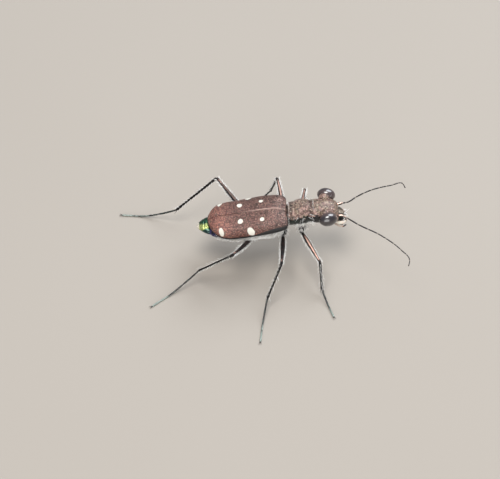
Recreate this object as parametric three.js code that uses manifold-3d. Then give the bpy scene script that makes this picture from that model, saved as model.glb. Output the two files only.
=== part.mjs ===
import * as THREE from "three";
import { mergeVertices } from "three/addons/utils/BufferGeometryUtils.js";
import Module from "manifold-3d";

const wasm = await Module();
wasm.setup();

// A life-size tiger beetle in millimetres. It faces +X, its left side is +Y
// and it stands on z = 0. Places are measured from a point on the ground
// below the middle of the body.

// Room between pieces that touch
const gap = 0.28;

// From that point to the middle of the whole beetle's outline on the ground
const outlineCentre = { x: -0.75, y: -2.43 };

// Wing cases: base and apex along the body, the height of their lower edge
// at both, half the width of the pair, the height of its arch, the shell
const wingCases = {
  base: 1.62,
  apex: -6.16,
  edgeAtBase: 5.93,
  edgeAtApex: 4.5,
  halfWidth: 2.3,
  arch: 1.13,
  shell: 0.5,
  rim: 0.15,
};

// Share of the way from base to apex, shares of the half width and arch, and
// how far the edge curves up from a straight line
const wingCaseOutline = [
  [0, 0.76, 0.3, 0],
  [0.02, 0.86, 0.4, 0],
  [0.06, 0.92, 0.58, 0],
  [0.14, 0.97, 0.82, 0],
  [0.25, 1.0, 0.93, 0],
  [0.45, 1.0, 0.98, -0.03],
  [0.62, 0.98, 1.0, -0.06],
  [0.77, 0.93, 0.94, 0],
  [0.87, 0.79, 0.66, 0.18],
  [0.935, 0.58, 0.38, 0.38],
  [0.975, 0.36, 0.22, 0.48],
  [1, 0.15, 0.11, 0.55],
];

// Thorax and abdomen below the wing cases: place along the body, half width,
// top, widest height and belly height
const trunkStations = [
  [1.42, 1.15, 5.42, 5.1, 4.6],
  [1.1, 1.6, 5.38, 4.95, 4.25],
  [0.4, 1.98, 5.26, 4.8, 4.08],
  [-1.0, 2.1, 5.0, 4.6, 3.95],
  [-2.8, 2.1, 4.67, 4.35, 3.86],
  [-4.2, 1.93, 4.42, 4.2, 3.86],
  [-5.2, 1.55, 4.45, 4.2, 3.92],
  [-5.9, 1.12, 4.6, 4.3, 3.98],
  [-6.5, 0.84, 4.72, 4.36, 4.03],
  [-7.0, 0.5, 4.6, 4.35, 4.12],
  [-7.35, 0.18, 4.42, 4.32, 4.22],
];
const hindBodyFront = -2.35;
const lastSegmentFront = -6.0;

// Prothorax, a barrel with a shallow groove inside the rim at each end
const prothoraxStations = [
  [1.9, 0.92, 6.52, 5.7, 4.88],
  [1.96, 1.06, 6.72, 5.7, 4.74],
  [2.1, 1.15, 6.84, 5.72, 4.64],
  [2.28, 1.12, 6.86, 5.78, 4.68],
  [2.6, 1.23, 7.06, 5.9, 4.72],
  [3.05, 1.27, 7.2, 5.98, 4.76],
  [3.5, 1.2, 7.17, 6.02, 4.84],
  [3.85, 1.08, 7.08, 6.03, 4.94],
  [4.02, 1.09, 7.1, 6.03, 4.96],
  [4.14, 1.02, 7.03, 6.03, 5.03],
  [4.2, 0.88, 6.88, 6.02, 5.16],
];

// Head: place along the body, half width, top, widest height and underside
const headStations = [
  [4.48, 0.86, 6.82, 5.98, 5.2],
  [4.58, 0.98, 6.97, 6.0, 4.96],
  [5.0, 1.06, 7.07, 6.0, 4.86],
  [5.55, 1.19, 7.12, 6.0, 4.83],
  [6.0, 1.02, 6.98, 5.85, 4.86],
  [6.26, 0.84, 6.68, 5.62, 4.92],
  [6.44, 0.75, 6.37, 5.49, 4.98],
  [6.6, 0.67, 6.1, 5.43, 5.06],
  [6.72, 0.52, 5.91, 5.42, 5.16],
];
const eye = { x: 5.59, y: 1.47, z: 6.46, length: 1.8, width: 1.38, height: 1.62, sides: 16 };
const labrum = { x: 6.97, z: 5.64, length: 0.9, width: 1.4, height: 0.5, tilt: 22 };

// Mouthparts and feelers of the left side, root to tip, with the radius at each end
const mandible = {
  points: [[6.35, 0.5, 5.0], [7.03, 0.62, 4.95], [7.38, 0.46, 4.93], [7.54, 0.18, 4.95]],
  radii: [0.26, 0.1],
};
const maxillaryPalp = {
  points: [[6.25, 0.8, 4.88], [6.7, 1.12, 4.64], [7.15, 1.18, 4.56], [7.46, 1.04, 4.48]],
  radii: [0.25, 0.15],
};
const labialPalp = {
  points: [[6.25, 0.36, 4.72], [6.7, 0.42, 4.32], [7.02, 0.44, 4.18], [7.3, 0.4, 4.14]],
  radii: [0.25, 0.15],
};
const scape = { points: [[6.35, 0.58, 5.88], [6.75, 0.74, 6.0], [7.15, 0.8, 6.03]], radii: [0.27, 0.29] };

// The feelers bend differently on the two sides
const feeler = { joints: 10, rootRadius: 0.26, tipRadius: 0.15, swelling: 0.14 };
const feelerPoints = {
  left: [
    [7.1, 0.8, 6.03],
    [7.75, 0.84, 6.12],
    [8.42, 1.2, 6.3],
    [10.0, 1.95, 6.42],
    [12.1, 2.58, 6.3],
    [13.3, 2.98, 6.0],
    [13.56, 2.68, 5.65],
  ],
  right: [
    [7.1, 0.8, 6.03],
    [7.6, 1.25, 6.1],
    [8.5, 2.1, 6.2],
    [10.6, 3.65, 6.3],
    [12.4, 5.25, 6.0],
    [13.2, 6.3, 5.65],
    [13.05, 6.9, 5.42],
  ],
};

// Legs: the sizes of each pair, then each leg's pose. A direction is a heading
// in the ground plane, from straight ahead out to the leg's own side, and a rise.
const legPairs = {
  front: {
    coxa: { at: [3.1, 0.72, 4.42], size: [0.9, 0.86, 1.05] },
    hip: [3.0, 1.05, 4.15],
    femur: 3.9,
    tibia: 3.05,
    tarsus: 3.2,
    girth: 0.92,
  },
  middle: {
    coxa: { at: [1.2, 0.82, 3.98], size: [0.95, 1.0, 0.86] },
    hip: [1.2, 1.1, 3.7],
    femur: 4.35,
    tibia: 3.95,
    tarsus: 4.66,
    girth: 0.96,
  },
  hind: {
    coxa: { at: [-1.7, 0.85, 3.9], size: [1.05, 1.15, 0.84] },
    hip: [-1.9, 1.15, 3.6],
    femur: 5.35,
    tibia: 5.75,
    tarsus: 5.8,
    girth: 1.0,
  },
};
const legPoses = {
  front_left: { femur: [78.9, -9.6], tibia: [-88.4, -65.9], tarsus: 32.5, bow: 0.1 },
  front_right: { femur: [64.8, -9.1], tibia: [82.2, -66.8], tarsus: 71.8, bow: 0 },
  middle_left: { femur: [93, 14.3], tibia: [112.1, -67.7], tarsus: -150, bow: 0.1 },
  middle_right: { femur: [95.5, 11.9], tibia: [132.4, -57], tarsus: 101.7, bow: 0.1 },
  hind_left: { femur: [130.3, 23.6], tibia: [-170.2, -43.4], tarsus: 171.2, bow: -0.35 },
  hind_right: { femur: [117.2, 29.4], tibia: [-152, -50.7], tarsus: 148.6, bow: 0.16 },
};

// Share of the length, then the radius, along each part of a leg
const femurOutline = [
  [0, 0.2],
  [0.06, 0.28],
  [0.13, 0.24],
  [0.3, 0.3],
  [0.55, 0.29],
  [0.85, 0.25],
  [0.96, 0.28],
  [1, 0.22],
];
const tibiaOutline = [[0, 0.25], [0.08, 0.26], [0.3, 0.25], [0.9, 0.25], [0.97, 0.28], [1, 0.24]];
const tarsus = { joints: 5, rootRadius: 0.26, tipRadius: 0.24, waist: 0.045, soleZ: 0.2, landing: 0.66 };
const spur = { length: 0.75, radius: 0.11, spread: 0.5, droop: 0.25, apart: 0.14, sunk: 0.22 };
const claw = { length: 0.5, radius: 0.13, spread: 24, sunk: 0.12, arch: 0.1 };

// Colours as they look in daylight
const colours = {
  wingCase: { color: 0x6b4038, roughness: 0.42, metalness: 0.55 },
  bronze: { color: 0x6a5040, roughness: 0.35, metalness: 0.7 },
  black: { color: 0x1a1a20, roughness: 0.25, metalness: 0.5 },
  green: { color: 0x4f8a4a, roughness: 0.28, metalness: 0.8 },
  eye: { color: 0x3a2a30, roughness: 0.12, metalness: 0.1 },
  cream: { color: 0xd8c8a4, roughness: 0.5, metalness: 0.0 },
  copper: { color: 0xa05c46, roughness: 0.35, metalness: 0.7 },
  leg: { color: 0x2a2625, roughness: 0.35, metalness: 0.5 },
  foot: { color: 0x2f6f70, roughness: 0.35, metalness: 0.6 },
};

// Solids, to join and cut
function solidOf(geometry) {
  const bare = geometry.clone();
  bare.deleteAttribute("normal");
  bare.deleteAttribute("uv");
  const merged = mergeVertices(bare);
  return new wasm.Manifold(new wasm.Mesh({
    numProp: 3,
    vertProperties: new Float32Array(merged.attributes.position.array),
    triVerts: new Uint32Array(merged.index.array),
  }));
}

function largestOf(solid) {
  const pieces = solid.decompose();
  return pieces.reduce((best, piece) => (piece.volume() > best.volume() ? piece : best));
}

function cut(solid, cutters) {
  return cutters.reduce((rest, cutter) => rest.subtract(cutter), solid);
}

function join(solids) {
  return solids.reduce((whole, solid) => whole.add(solid));
}

// A smooth run of values through stations, each a place and then its values
function through(stations) {
  const sorted = [...stations].sort((a, b) => a[0] - b[0]);
  const places = sorted.map((station) => station[0]);
  const values = sorted.flatMap((station) => station.slice(1));
  const curve = new THREE.CubicInterpolant(places, values, stations[0].length - 1);
  return (place) => Array.from(curve.evaluate(place));
}

// A rounded closed form along X. The section at a place is two half ellipses
// that meet at the widest height, squarer where squareness is under 1.
function bodyForm({ stations, sides, steps, squareness = 1, grow = 0 }) {
  const places = stations.map((station) => station[0]);
  const rear = Math.min(...places);
  const front = Math.max(...places);
  const section = through(stations);
  const geometry = new THREE.CylinderGeometry(1, 1, 1, sides, steps);
  const corner = geometry.attributes.position;
  for (let i = 0; i < corner.count; i++) {
    const share = 0.5 - 0.5 * Math.cos(Math.PI * (corner.getY(i) + 0.5));
    const [halfWidth, top, waist, belly] = section(rear + (front - rear) * share);
    const across = Math.sign(corner.getZ(i)) * Math.abs(corner.getZ(i)) ** squareness;
    const upwards = Math.sign(corner.getX(i)) * Math.abs(corner.getX(i)) ** squareness;
    const reach = upwards > 0 ? top - waist + grow : waist - belly + grow;
    const x = rear - grow + (front - rear + 2 * grow) * share;
    corner.setXYZ(i, x, across * (halfWidth + grow), waist + upwards * reach);
  }
  return solidOf(geometry);
}

const vertical = new THREE.Vector3(0, 0, 1);

function ellipsoid(at, size, { grow = 0, tilt = 0, sides = 12 } = {}) {
  const geometry = new THREE.SphereGeometry(1, sides, sides * 0.6);
  geometry.scale(size[0] / 2 + grow, size[1] / 2 + grow, size[2] / 2 + grow);
  geometry.rotateY(THREE.MathUtils.degToRad(tilt));
  geometry.translate(...at);
  return solidOf(geometry);
}

// A closed rod along a curve, its radius set by a function of the share along
function rod({ curve, radius, sides = 8, steps = 8, grow = 0 }) {
  const geometry = new THREE.CylinderGeometry(1, 1, 1, sides, steps);
  const corner = geometry.attributes.position;
  for (let i = 0; i < corner.count; i++) {
    const share = THREE.MathUtils.clamp(corner.getY(i) + 0.5, 0, 1);
    const along = curve.getTangentAt(share);
    const across = vertical.clone().cross(along).normalize();
    const up = along.clone().cross(across);
    const reach = radius(share) + grow;
    const end = share === 0 ? -grow : share === 1 ? grow : 0;
    const place = curve.getPointAt(share)
      .addScaledVector(across, corner.getZ(i) * reach)
      .addScaledVector(up, corner.getX(i) * reach)
      .addScaledVector(along, end);
    corner.setXYZ(i, place.x, place.y, place.z);
  }
  return solidOf(geometry);
}

function curveThrough(points, side = 1) {
  return new THREE.CatmullRomCurve3(points.map(([x, y, z]) => new THREE.Vector3(x, y * side, z)));
}

function outlineRadius(outline, scale = 1) {
  const section = through(outline);
  return (share) => section(share)[0] * scale;
}

// Everything on one side of a plane square to an axis (0 is X, 1 is Y, 2 is Z)
function halfSpace(axis, from, direction) {
  const reach = 40;
  const box = new THREE.BoxGeometry(reach, reach, reach);
  const offset = [0, 0, 0];
  offset[axis] = from + (direction * reach) / 2;
  box.translate(...offset);
  return solidOf(box);
}

// Every node ends up in here as its solid and its colour
const nodes = new Map();

function keep(name, solid, colour) {
  nodes.set(name, { solid: largestOf(solid), colour });
}

// Wing cases

function edgeHeight(x) {
  const { base, apex, edgeAtBase, edgeAtApex } = wingCases;
  return THREE.MathUtils.mapLinear(x, base, apex, edgeAtBase, edgeAtApex);
}

// The pair as one dome, smaller all round by the inset, with its lower part this deep
function wingCaseDome(inset, depth) {
  const base = wingCases.base - inset;
  const apex = wingCases.apex + inset;
  const stations = wingCaseOutline.map(([share, width, height, lift]) => {
    const x = THREE.MathUtils.lerp(base, apex, share);
    const waist = edgeHeight(x) + lift;
    return [
      x,
      width * (wingCases.halfWidth - inset),
      waist + height * (wingCases.arch - inset),
      waist,
      waist - depth,
    ];
  });
  return bodyForm({ stations, sides: 24, steps: 14, squareness: 0.85 });
}

const scutellumSize = [1.0, 0.8, 0.5];
const scutellumAt = [1.36, 0, 6.12];
const outerDome = wingCaseDome(0, wingCases.rim);
const clearOfDome = wingCaseDome(-gap, wingCases.rim + gap);
const hollowDepth = 1.6;
const coreDepth = 0.7;
const hollow = wingCaseDome(wingCases.shell, hollowDepth);
const shellPair = outerDome.subtract(hollow).subtract(ellipsoid(scutellumAt, scutellumSize, { grow: gap }));
for (const [name, side] of [["left", 1], ["right", -1]]) {
  const half = shellPair.subtract(halfSpace(1, (side * gap) / 2, -side));
  keep(`elytron_${name}`, half, colours.wingCase);
}
keep("scutellum", ellipsoid(scutellumAt, scutellumSize), colours.bronze);

// Legs, built from the hip outwards. Each part is cut clear of the one before it.

function aim([heading, rise], side) {
  const turn = THREE.MathUtils.degToRad(heading);
  const lift = THREE.MathUtils.degToRad(rise);
  return new THREE.Vector3(
    Math.cos(turn) * Math.cos(lift),
    side * Math.sin(turn) * Math.cos(lift),
    Math.sin(lift),
  );
}

// The tarsus comes down from the ankle and lies along the ground to its claws
function tarsusCurve(ankle, pair, pose, side) {
  const drop = ankle.z - tarsus.soleZ;
  const run = Math.sqrt(pair.tarsus ** 2 - drop ** 2);
  const ahead = aim([pose.tarsus, 0], side);
  const outward = new THREE.Vector3(-ahead.y, ahead.x, 0).multiplyScalar(side);
  const points = [];
  const count = 5;
  for (let i = 0; i <= count; i++) {
    const share = i / count;
    const fall = Math.max(0, 1 - share / tarsus.landing);
    points.push(ankle.clone()
      .addScaledVector(ahead, run * share)
      .addScaledVector(outward, pose.bow * Math.sin(Math.PI * share))
      .setZ(tarsus.soleZ + drop * fall ** 1.5));
  }
  return new THREE.CatmullRomCurve3(points);
}

function tarsusRadius(share) {
  const taper = THREE.MathUtils.lerp(tarsus.rootRadius, tarsus.tipRadius, share);
  const joint = (share * tarsus.joints) % 1;
  return taper - tarsus.waist * (1 - Math.sin(Math.PI * Math.min(joint + 0.12, 1)));
}

function clawPair(toe, ahead) {
  const root = toe.clone().addScaledVector(ahead, -claw.sunk);
  return [-1, 1].map((turn) => {
    const out = ahead.clone().applyAxisAngle(vertical, THREE.MathUtils.degToRad(turn * claw.spread));
    const points = [0, 0.5, 1].map((share) => root.clone()
      .addScaledVector(out, share * (claw.length + claw.sunk))
      .addScaledVector(vertical, claw.arch * Math.sin(Math.PI * share)));
    return rod({
      curve: new THREE.CatmullRomCurve3(points),
      radius: (share) => claw.radius * (1 - 0.6 * share),
      sides: 5,
      steps: 3,
    });
  });
}

// Two short spurs at the end of the tibia, below the ankle
function spurPair(ankle, along) {
  const across = vertical.clone().cross(along).normalize();
  return [-1, 1].map((turn) => {
    const out = along.clone()
      .addScaledVector(across, spur.spread * turn)
      .addScaledVector(vertical, -spur.droop)
      .normalize();
    const root = ankle.clone()
      .addScaledVector(along, -spur.sunk)
      .addScaledVector(across, spur.apart * turn);
    return rod({
      curve: new THREE.LineCurve3(root, root.clone().addScaledVector(out, spur.length)),
      radius: (share) => spur.radius * (1 - 0.7 * share),
      sides: 5,
      steps: 1,
    });
  });
}

const coxaCutters = [];
const femurCutters = [];
const floor = halfSpace(2, 0, -1);

for (const [pairName, pair] of Object.entries(legPairs)) {
  for (const [sideName, side] of [["left", 1], ["right", -1]]) {
    const pose = legPoses[`${pairName}_${sideName}`];
    const node = (part) => `${part}_${pairName}_${sideName}`;
    const mirrored = ([x, y, z]) => [x, y * side, z];
    const hip = new THREE.Vector3(...mirrored(pair.hip));
    const thighWay = aim(pose.femur, side);
    const knee = hip.clone().addScaledVector(thighWay, pair.femur);
    const shinWay = aim(pose.tibia, side);
    const ankle = knee.clone().addScaledVector(shinWay, pair.tibia);
    const footCurve = tarsusCurve(ankle, pair, pose, side);

    const coxa = { at: mirrored(pair.coxa.at), size: pair.coxa.size };
    const clearOfCoxa = ellipsoid(coxa.at, coxa.size, { grow: gap });
    const femur = {
      curve: new THREE.LineCurve3(hip, knee),
      radius: outlineRadius(femurOutline, pair.girth),
      steps: 8,
    };
    const tibia = {
      curve: new THREE.LineCurve3(knee, ankle),
      radius: outlineRadius(tibiaOutline, 1),
      steps: 6,
    };
    const clearOfFemur = rod({ ...femur, grow: gap });
    const clearOfTibia = rod({ ...tibia, grow: gap });
    const foot = rod({ curve: footCurve, radius: tarsusRadius, sides: 6, steps: tarsus.joints * 3 });
    const claws = clawPair(footCurve.getPointAt(1), footCurve.getTangentAt(1));
    const shin = join([rod(tibia), ...spurPair(ankle, shinWay)]);

    keep(node("coxa"), ellipsoid(coxa.at, coxa.size), colours.black);
    keep(node("femur"), rod(femur).subtract(clearOfCoxa), colours.copper);
    keep(node("tibia"), shin.subtract(clearOfFemur), colours.leg);
    keep(node("tarsus"), cut(join([foot, ...claws]), [clearOfTibia, floor]), colours.foot);
    coxaCutters.push(clearOfCoxa);
    femurCutters.push(clearOfFemur);
  }
}

// Thorax and abdomen

const core = wingCaseDome(wingCases.shell + gap, coreDepth);
const trunk = bodyForm({ stations: trunkStations, sides: 20, steps: 16, squareness: 0.85 });
const wholeTrunk = cut(join([trunk, core]), [
  ...coxaCutters,
  ...femurCutters,
  ellipsoid(scutellumAt, scutellumSize, { grow: gap }),
]);
const behind = (x) => halfSpace(0, x, -1);
const ahead = (x) => halfSpace(0, x, 1);
keep("pterothorax", wholeTrunk.subtract(behind(hindBodyFront + gap / 2)), colours.black);
keep(
  "abdomen",
  cut(wholeTrunk, [ahead(hindBodyFront - gap / 2), behind(lastSegmentFront + gap / 2)]),
  colours.black,
);
keep("abdomen_tip", cut(trunk, [ahead(lastSegmentFront - gap / 2), clearOfDome]), colours.green);

const barrel = bodyForm({ stations: prothoraxStations, sides: 20, steps: 16, squareness: 0.97 });
keep("prothorax", cut(barrel, [...coxaCutters, ...femurCutters]), colours.bronze);

// Head with its eyes, mouthparts and feelers

const headForm = (grow) => bodyForm({ stations: headStations, sides: 20, steps: 12, grow });
const eyeSize = [eye.length, eye.width, eye.height];
const eyeAt = (side) => [eye.x, eye.y * side, eye.z];
const clearOfEyes = [1, -1].map((side) => ellipsoid(eyeAt(side), eyeSize, { grow: gap, sides: eye.sides }));
const clearOfHead = headForm(gap);
keep("head", cut(headForm(0), clearOfEyes), colours.bronze);
keep(
  "labrum",
  ellipsoid([labrum.x, 0, labrum.z], [labrum.length, labrum.width, labrum.height], { tilt: labrum.tilt })
    .subtract(clearOfHead),
  colours.cream,
);

// A tapered limb along its points
function limb({ points, radii }, side, grow = 0) {
  return rod({
    curve: curveThrough(points, side),
    radius: (share) => THREE.MathUtils.lerp(radii[0], radii[1], share),
    steps: 9,
    grow,
  });
}

// The feeler swells slightly at the end of every joint
function feelerRadius(share) {
  const taper = THREE.MathUtils.lerp(feeler.rootRadius, feeler.tipRadius, share);
  const joint = (share * feeler.joints) % 1;
  return taper * (1 - feeler.swelling * (1 - Math.sin(Math.PI * Math.min(joint + 0.2, 1))));
}

for (const [sideName, side] of [["left", 1], ["right", -1]]) {
  const clearOfScape = limb(scape, side, gap);
  keep(`eye_${sideName}`, ellipsoid(eyeAt(side), eyeSize, { sides: eye.sides }), colours.eye);
  keep(`mandible_${sideName}`, limb(mandible, side).subtract(clearOfHead), colours.cream);
  keep(`maxillary_palp_${sideName}`, limb(maxillaryPalp, side).subtract(clearOfHead), colours.cream);
  keep(`labial_palp_${sideName}`, limb(labialPalp, side).subtract(clearOfHead), colours.cream);
  keep(`scape_${sideName}`, cut(limb(scape, side), [clearOfHead, ...clearOfEyes]), colours.copper);
  const feelerRod = rod({
    curve: curveThrough(feelerPoints[sideName], side),
    radius: feelerRadius,
    sides: 6,
    steps: feeler.joints * 3,
  });
  keep(`antenna_${sideName}`, feelerRod.subtract(clearOfScape), colours.leg);
}

// The finished beetle, with its origin on the ground at the middle of its outline

function geometryOf(solid) {
  const { vertProperties, triVerts } = solid.getMesh();
  const geometry = new THREE.BufferGeometry();
  geometry.setAttribute("position", new THREE.BufferAttribute(new Float32Array(vertProperties), 3));
  geometry.setIndex(new THREE.BufferAttribute(new Uint32Array(triVerts), 1));
  geometry.computeVertexNormals();
  return geometry;
}

const beetle = new THREE.Group();
for (const [name, { solid, colour }] of nodes) {
  const mesh = new THREE.Mesh(geometryOf(solid), new THREE.MeshStandardMaterial(colour));
  mesh.name = name;
  beetle.add(mesh);
}
beetle.position.set(-outlineCentre.x, -outlineCentre.y, 0);
beetle.updateMatrixWorld(true);

export default beetle;
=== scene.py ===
import math

import bmesh
import bpy
import numpy as np
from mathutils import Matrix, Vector, noise


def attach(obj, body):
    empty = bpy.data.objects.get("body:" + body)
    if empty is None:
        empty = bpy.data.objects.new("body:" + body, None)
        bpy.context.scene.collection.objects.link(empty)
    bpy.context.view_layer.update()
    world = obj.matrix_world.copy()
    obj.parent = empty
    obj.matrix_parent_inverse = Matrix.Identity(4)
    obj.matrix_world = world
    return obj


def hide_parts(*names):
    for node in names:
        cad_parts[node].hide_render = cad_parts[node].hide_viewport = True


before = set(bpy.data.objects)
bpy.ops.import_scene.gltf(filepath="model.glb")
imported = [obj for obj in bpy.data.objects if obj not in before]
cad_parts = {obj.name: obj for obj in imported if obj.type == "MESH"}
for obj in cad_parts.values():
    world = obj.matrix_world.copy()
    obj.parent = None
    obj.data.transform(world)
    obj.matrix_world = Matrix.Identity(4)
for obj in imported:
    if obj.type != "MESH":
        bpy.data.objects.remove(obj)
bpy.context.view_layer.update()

# A tiger beetle, life size. Lengths are in millimetres, from a point on the
# ground below the middle of the body: +X ahead, +Y to its left, +Z up.
# The frame's own origin lies a little off that point.
mm = 0.001
bodyOffset = np.array([0.75, 2.43, 0.0])
bothSides = {"left": 1, "right": -1}
up = np.array([0.0, 0.0, 1.0])


def inFrame(points):
    return (np.asarray(points, float) + bodyOffset) * mm


def placesOn(mesh):
    return np.array([corner.co for corner in mesh.vertices]) / mm - bodyOffset


def onSide(points, side):
    # Points of the left side, or their mirror images
    return np.array(points, float) * [1, side, 1]


# Nodes, for materials and for growing bristles alike. A field is what one
# output of a node gives, so that sums over a surface can be written plainly.


class Field:
    def __init__(self, socket):
        self.socket = socket
        self.tree = socket.id_data

    def also(self, output):
        return Field(self.socket.node.outputs[output])

    def __add__(self, other):
        return number("ADD", self, other)

    def __sub__(self, other):
        return number("SUBTRACT", self, other)

    def __rsub__(self, other):
        return number("SUBTRACT", other, self)

    def __mul__(self, other):
        return number("MULTIPLY", self, other)

    def __truediv__(self, other):
        return number("DIVIDE", self, other)

    def __pow__(self, other):
        return number("POWER", self, other)

    def __abs__(self):
        return number("ABSOLUTE", self)


def setInputs(node, inputs):
    for key, value in inputs.items():
        if isinstance(value, Field):
            value.tree.links.new(value.socket, node.inputs[key])
        else:
            node.inputs[key].default_value = value


def wire(tree, kind, inputs=None, output=0, **settings):
    node = tree.nodes.new(kind)
    for key, value in settings.items():
        setattr(node, key, value)
    setInputs(node, inputs or {})
    return Field(node.outputs[output])


def number(operation, *values):
    tree = next(value.tree for value in values if isinstance(value, Field))
    return wire(tree, "ShaderNodeMath", dict(enumerate(values)), operation=operation)


def parted(vector):
    x = wire(vector.tree, "ShaderNodeSeparateXYZ", {0: vector})
    return x, x.also(1), x.also(2)


def between(value, low, high, toLow=0.0, toHigh=1.0):
    inputs = {"Value": value, "From Min": low, "From Max": high, "To Min": toLow, "To Max": toHigh}
    return wire(value.tree, "ShaderNodeMapRange", inputs, interpolation_type="SMOOTHSTEP")


def hill(value, middle, halfWidth):
    # 1 at the middle, 0 beyond half a width from it
    return between(abs(value - middle), halfWidth, 0.0)


def kept(place, name):
    return wire(place.tree, "ShaderNodeAttribute", output="Fac", attribute_name=name)


def stretched(place, scale):
    return wire(place.tree, "ShaderNodeVectorMath", {0: place, 1: scale}, operation="MULTIPLY")


def grain(place, scale, detail=3.0, distortion=0.0):
    inputs = {"Vector": place, "Scale": scale, "Detail": detail, "Distortion": distortion}
    return wire(place.tree, "ShaderNodeTexNoise", inputs)


def cells(place, scale, randomness=1.0):
    # How far from the middle of its cell each place is, and a number of the cell's own
    inputs = {"Vector": place, "Scale": scale, "Randomness": randomness}
    away = wire(place.tree, "ShaderNodeTexVoronoi", inputs, "Distance")
    return away, parted(away.also("Color"))[0]


def layered(colour, *layers):
    # A colour with others laid over it, each as far as its share says
    for share, over in layers:
        colour = wire(share.tree, "ShaderNodeMix", {0: share, 6: colour, 7: over}, 2, data_type="RGBA")
    return colour


def brightened(colour, value):
    return wire(colour.tree, "ShaderNodeHueSaturation", {"Color": colour, "Value": value})


def relief(height, depth, strength, under=None):
    # Bump of a depth in millimetres, over another one if given
    inputs = {"Height": height, "Distance": depth * mm, "Strength": strength}
    if under:
        inputs["Normal"] = under
    return wire(height.tree, "ShaderNodeBump", inputs)


def seen(colours):
    # From colours as a picture shows them, 0 to 255
    def linear(value):
        share = value / 255
        return share / 12.92 if share < 0.04 else ((share + 0.055) / 1.055) ** 2.4

    return {name: (*map(linear, colour), 1.0) for name, colour in colours.items()}


def newSkin(name):
    # A material, and places on the beetle in millimetres, from the frame's metres
    material = bpy.data.materials.new(name)
    material.use_nodes = True
    spot = wire(material.node_tree, "ShaderNodeTexCoord", output="Object")
    inputs = {"Vector": spot, "Location": -bodyOffset, "Scale": [1 / mm] * 3}
    return material, wire(material.node_tree, "ShaderNodeMapping", inputs)


def finished(material, sockets):
    setInputs(material.node_tree.nodes["Principled BSDF"], sockets)
    return material


# Camera, light and floor

cameraView = {
    "azimuth": -3.0,
    "elevation": 52.0,
    "lens": 200.0,
    "sensor": 36.0,
    "distance": 277.78,
    "target": (-1.954, 0.931, 0.646),
    "clip": (0.01, 10.0),
}
# Each lamp: which way it stands, how far off, how wide, watts and tint
lamps = {
    "key": ((-0.08, -0.16, 1.0), 260, 140, 0.5, (1.0, 0.98, 0.95)),
    "sky": ((0.5, 0.55, 0.9), 320, 260, 1.05, (0.88, 0.94, 1.0)),
    "front": ((-0.1, -1.0, 0.3), 320, 300, 0.62, (1.0, 0.98, 0.96)),
}
worldLight = {"Color": (0.88, 0.9, 0.94, 1.0), "Strength": 0.4}
floorSheet = {"halfSide": 600, "colours": seen({"paper": (160, 153, 145), "shade": (153, 146, 138)})}


def standOff(name, data, target, towards, distance):
    # An object that stands off from a target and faces it
    holder = bpy.data.objects.new(name, data)
    holder.location = Vector(target) + towards * distance * mm
    holder.rotation_euler = towards.to_track_quat("Z", "Y").to_euler()
    bpy.context.scene.collection.objects.link(holder)
    return holder


def addCamera():
    turn, climb = math.radians(cameraView["azimuth"]), math.radians(cameraView["elevation"])
    away = (math.sin(turn) * math.cos(climb), -math.cos(turn) * math.cos(climb), math.sin(climb))
    camera = bpy.data.cameras.new("camera")
    camera.lens = cameraView["lens"]
    camera.sensor_width = cameraView["sensor"]
    camera.clip_start, camera.clip_end = cameraView["clip"]
    target = inFrame(cameraView["target"])
    holder = standOff("camera", camera, target, Vector(away), cameraView["distance"])
    bpy.context.scene.camera = holder


def addLights():
    for name, (towards, distance, width, watts, tint) in lamps.items():
        light = bpy.data.lights.new(name, "AREA")
        light.shape = "DISK"
        light.size = width * mm
        light.energy = watts
        light.color = tint
        standOff(name, light, (0, 0, 0), Vector(towards).normalized(), distance)
    world = bpy.data.worlds.new("studio")
    world.use_nodes = True
    setInputs(world.node_tree.nodes["Background"], worldLight)
    bpy.context.scene.world = world


def floorFinish():
    material, place = newSkin("floorPaper")
    tones = floorSheet["colours"]
    shade = between(grain(place, 0.02, 2), 0.3, 0.7, 0.0, 0.15)
    return finished(material, {
        "Base Color": layered(tones["paper"], (shade, tones["shade"])),
        "Roughness": 0.9,
        "Specular IOR Level": 0.2,
    })


def buildFloor():
    half = floorSheet["halfSide"] * mm
    mesh = bpy.data.meshes.new("floor")
    corners = [(-half, -half, 0), (half, -half, 0), (half, half, 0), (-half, half, 0)]
    mesh.from_pydata(corners, [], [(0, 1, 2, 3)])
    mesh.materials.append(floorFinish())
    floor = bpy.data.objects.new("floor", mesh)
    bpy.context.scene.collection.objects.link(floor)


# Shapes. A shape has corners, faces, an unwrap for the faces' corners, and
# values kept on the corners for the materials and the bristles. A cell is a
# column and row of the unwrap, and how many of them it has each way.

wholeUnwrap = (0, 0, 1)
fanShare = 0.03  # of the unwrap, for the fan that closes each end
unwrapMargin = 0.02  # left free round each cell
pathSteps = 600


def unit(vectors):
    return vectors / np.linalg.norm(vectors, axis=-1, keepdims=True)


def hump(value, centre, width):
    return np.exp(-(((value - centre) / width) ** 2))


def rise(value, low, high):
    t = np.clip((value - low) / (high - low), 0, 1)
    return t * t * (3 - 2 * t)


def signedPower(value, power):
    return np.sign(value) * np.abs(value) ** power


def endRounding(distance, rounding):
    return np.sqrt(1 - (1 - np.clip(distance / rounding, 0, 1)) ** 2)


def easedShares(count, start=0.06):
    # From 0 to 1, closer together at both ends, where a form rounds off
    return 0.5 - 0.5 * np.cos(np.linspace(start, np.pi - start, count))


def turns(around):
    return np.linspace(0, 2 * np.pi, around, endpoint=False)


def lumpy(points, scale, offset):
    # Noise at each point, in columns narrow or wide as the scale says
    return np.array([[noise.noise(Vector((p[0] * scale[0], p[1] * scale[1], offset))) for p in row]
                     for row in points])


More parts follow.
